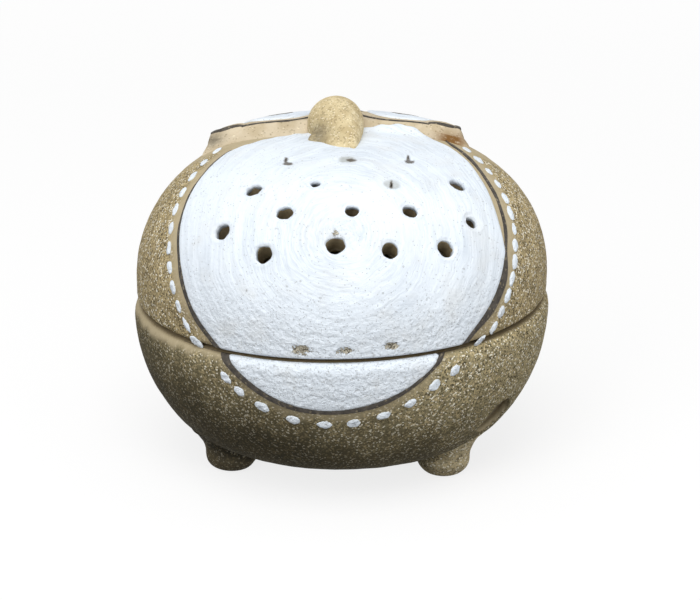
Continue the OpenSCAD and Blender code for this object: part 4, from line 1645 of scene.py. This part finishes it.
# %% Eyes and pupils
EYE_R = 6.5
EYE_T = 0.3
PUPIL_R = 2.6
PUPIL_T = 0.12
PUPIL_LIFT = 0.22
eyes = {}
for side, word in ((-1, "left"), (1, "right")):
    middle = (side * EYE_X, EYE_BACK)
    eye = patch("eye_" + word, face_skin, middle, round_edge(EYE_R), 26, even(EYE_T), angles=180)
    mark_slip(eye)
    pupil = patch("pupil_" + word, face_skin, middle, round_edge(PUPIL_R), 10, even(PUPIL_T), PUPIL_LIFT,
                  angles=90)
    brow = brow_line("eye_line_" + word, side)
    for painted in (pupil, brow):
        take_wave(dress(painted, iron))
    eyes[word] = (eye, pupil, brow)
print("eyes:", [[len(piece.data.polygons) for piece in trio] for trio in eyes.values()], "faces")

# %% [markdown]
# ## The feet
# Three lumps of clay were pressed under the bowl: two at the front that show, and one at the back
# that has to be there for it to stand. A squashed ball would do, but a stack of rings keeps the sole
# flat on the table: rounded below, and spread out above where the thumb smoothed it into the bowl.
# The right one is painted paler and the other two darker: a lit and a shaded copy of one clay, as painted
# light and shade.

# %% Feet
FOOT_R = 4.8
FOOT_ROUND = 2.8
FOOT_RING = 22.5
FOOT_TURNS = {"left": math.radians(-59), "right": math.radians(52), "rear": math.radians(178)}
FOOT_TOP = 8.0
FOOT_SPREAD = 2.6
FOOT_SHRINK = 0.2
FOOT_SEED = 70


def foot_lump(name, turn, seed):
    """A rounded lump that spreads towards the bowl."""
    bend = np.linspace(0, QUARTER, 14)
    low_r = np.concatenate([[1.0], FOOT_R - FOOT_ROUND + FOOT_ROUND * np.sin(bend)])
    low_z = np.concatenate([[0.0], FOOT_ROUND * (1 - np.cos(bend))])
    high_z = np.linspace(FOOT_ROUND, FOOT_TOP, 18)[1:]
    high_r = FOOT_R + FOOT_SPREAD * ((high_z - FOOT_ROUND) / (FOOT_TOP - FOOT_ROUND)) ** 2
    radius = np.concatenate([low_r, high_r])
    height = np.concatenate([low_z, high_z])
    angle = np.linspace(0, FULL_TURN, 96, endpoint=False)
    centre = np.array([FOOT_RING * math.sin(turn), -FOOT_RING * math.cos(turn), 0])
    rings = np.stack([radius[:, None] * np.cos(angle), radius[:, None] * np.sin(angle),
                      np.repeat(height[:, None], len(angle), axis=1)], axis=-1) + centre
    lump = loft(name, rings)
    points = points_of(lump)
    rough = 0.22 * ripple(points, 4.5, seed) + 0.06 * ripple(points, 1.3, seed + 1) - FOOT_SHRINK
    free = smooth_step(0.05, 1.0, points[:, 2])
    points = points + (rough * free)[:, None] * normals_of(lump)
    points[:, 2] = np.maximum(points[:, 2], 0)
    depth = depth_in_bowl(points)
    mark(lump, "wiped", 0.1 * (1 - smooth_step(-2.5, 0, depth)))
    for unused in ("inside", "in_hole"):
        mark(lump, unused, 0 * depth)
    move_points(lump, by_hand(points))
    return lump


# Painted light and shade: the right foot gets a lit copy of the clay, the left and rear feet a shaded one.
shaded_foot = sandy_clay("dark_foot_clay", colour(30, 28, 20), colour(36, 33, 24), colour(36, 33, 24), 0.16)
lit_foot_tone = colour(188, 175, 141)
lit_foot = sandy_clay("pale_foot_clay", lit_foot_tone, lit_foot_tone, lit_foot_tone, 0.9)
FOOT_FINISH = {"left": shaded_foot, "right": lit_foot, "rear": shaded_foot}
feet = {word: dress(foot_lump("foot_" + word, turn, FOOT_SEED + 2 * i), FOOT_FINISH[word])
        for i, (word, turn) in enumerate(FOOT_TURNS.items())}
print("feet:", [len(foot.data.polygons) for foot in feet.values()], "faces")

# %% [markdown]
# ## Putting the pieces in the frame
# Each piece says which body it moves with and which solids it stands for. The marks for the drills
# have done their work and go.

# %% Bodies, solids and finishes
for marks_piece in (lid_marks, slip_marks, air_marks):
    bpy.data.objects.remove(marks_piece)


def place_piece(piece, body, slot, *nodes):
    """Puts a piece on its body, in place of its solids; slot, the finish of the record, is not used."""
    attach(piece, body)
    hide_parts(*nodes)


place_piece(bowl, "bowl", "bowl_clay", "base_bowl")
place_piece(slip_bowl, "bowl", "white_slip", "belly_slip_base")
place_piece(line_bowl, "bowl", "iron_slip", "belly_line_base")
place_piece(dabs_base, "bowl", "white_slip", "dabs_base")
for word, foot in feet.items():
    place_piece(foot, "bowl", "foot_clay", "foot_" + word)
place_piece(lid, "lid", "lid_clay", "lid_shell")
place_piece(head, "lid", "head_clay", "head_pad")
place_piece(beak, "lid", "head_clay", "beak")
place_piece(slip_lid, "lid", "white_slip", "belly_slip_lid")
place_piece(line_lid, "lid", "iron_slip", "belly_line_lid")
place_piece(dabs_lid, "lid", "white_slip", "dabs_lid")
for word, ear in ears.items():
    place_piece(ear, "lid", "head_clay", "ear_" + word)
for word, (eye, pupil, brow) in eyes.items():
    place_piece(eye, "lid", "white_slip", "eye_" + word)
    place_piece(pupil, "lid", "iron_slip", "pupil_" + word)
    place_piece(brow, "lid", "iron_slip", "eye_line_" + word)

# %% [markdown]
# ## Floor, light and camera
# The photograph has a white ground and soft light from above. The floor is white for the camera and
# for gloss, and keeps the shadow. For all other light it is dark grey, because in the photograph
# little light comes up from below and the bowl's underside is dark.

# %% White floor
FLOOR_HALF = 3000.0
FLOOR_GREY = 0.1
FLOOR_GLOW = 0.8
WHITER_FROM = 80.0
WHITE_AT = 600.0


def sees_white(tree):
    """1 for the rays that find the white ground: the camera's, and those of gloss and glass."""
    path = put(tree, "ShaderNodeLightPath").outputs
    seen = math_node(tree, "MAXIMUM", path["Is Camera Ray"], path["Is Glossy Ray"])
    return math_node(tree, "MAXIMUM", seen, path["Is Transmission Ray"])


def white_ground(name, lightness, glow):
    """A floor that the camera sees nearly white, with the shadow on it, and quite white far off."""
    finish = bpy.data.materials.new(name)
    finish.use_nodes = True
    tree = finish.node_tree
    tree.nodes.clear()
    seen = sees_white(tree)
    matt = put(tree, "ShaderNodeBsdfDiffuse", {"Color": colour(255, 255, 255)})
    shine = put(tree, "ShaderNodeEmission", {"Color": (1, 1, 1, 1), "Strength": 1.0})
    place = put(tree, "ShaderNodeTexCoord").outputs["Object"]
    away = put(tree, "ShaderNodeVectorMath", {0: place}, operation="LENGTH").outputs["Value"]
    whiter = scaled(tree, ramp(tree, away, WHITER_FROM * MM, WHITE_AT * MM), 1 - glow, glow)
    shown = put(tree, "ShaderNodeMixShader", {0: whiter, 1: matt.outputs[0], 2: shine.outputs[0]})
    grey = put(tree, "ShaderNodeBsdfDiffuse", {"Color": (lightness, lightness, lightness, 1)})
    both = put(tree, "ShaderNodeMixShader", {0: seen, 1: grey.outputs[0], 2: shown.outputs[0]})
    put(tree, "ShaderNodeOutputMaterial", {"Surface": both.outputs[0]})
    return finish


floor_corners = np.array([(-1, -1, 0), (1, -1, 0), (1, 1, 0), (-1, 1, 0)]) * FLOOR_HALF
floor = new_piece("floor", floor_corners, [(0, 1, 2, 3)])
dress(floor, white_ground("white_floor", FLOOR_GREY, FLOOR_GLOW))
print("floor", 2 * FLOOR_HALF, "mm wide")

# %% White world
ROOM_LIGHT = 0.55
scene = bpy.context.scene
scene.view_settings.view_transform = "Standard"
world = bpy.data.worlds.new("soft_room")
world.use_nodes = True
scene.world = world
sky = world.node_tree
sky.nodes.clear()
strength = scaled(sky, sees_white(sky), 1 - ROOM_LIGHT, ROOM_LIGHT)
room = put(sky, "ShaderNodeBackground", {"Color": (1, 1, 1, 1), "Strength": strength})
put(sky, "ShaderNodeOutputWorld", {"Surface": room.outputs[0]})
print("room light", ROOM_LIGHT)

# %% Lamps
LAMPS = (("key", (-40, -330, 640), 460, 2.4), ("low_right", (500, -420, 25), 300, 1.7),
         ("left_front", (-380, -560, 400), 420, 1.7))


def lamp(name, at, across, power):
    """A square soft light that looks at the owl."""
    light = bpy.data.lights.new(name, "AREA")
    light.size = across * MM
    light.energy = power
    holder = bpy.data.objects.new(name, light)
    scene.collection.objects.link(holder)
    holder.location = Vector(at) * MM
    aim_at = Vector((0, 0, SEAM_Z)) * MM
    holder.rotation_euler = (aim_at - holder.location).to_track_quat("-Z", "Y").to_euler()


for settings in LAMPS:
    lamp(*settings)
print("lamps:", [settings[0] for settings in LAMPS])

# %% Camera
IMAGE_W = 700
IMAGE_H = 600
FOCAL_PX = 2272
SENSOR = 36.0
LOOK_AT = Vector((0, 0, 27)) * MM
CAMERA_FAR = 400 * MM
CAMERA_RISE = math.radians(19.3)
LOOK_PX = (342, 298)

camera_data = bpy.data.cameras.new("camera")
camera_data.sensor_width = SENSOR
camera_data.lens = FOCAL_PX * SENSOR / IMAGE_W
camera_data.shift_x = (IMAGE_W / 2 - LOOK_PX[0]) / IMAGE_W
camera_data.shift_y = (LOOK_PX[1] - IMAGE_H / 2) / IMAGE_W
camera_data.clip_start = 10 * MM
camera = bpy.data.objects.new("camera", camera_data)
scene.collection.objects.link(camera)
back_off = Vector((0, -math.cos(CAMERA_RISE), math.sin(CAMERA_RISE)))
camera.location = LOOK_AT + CAMERA_FAR * back_off
camera.rotation_euler = (-back_off).to_track_quat("-Z", "Y").to_euler()
scene.camera = camera
print("camera:", round(camera_data.lens, 1), "mm lens")
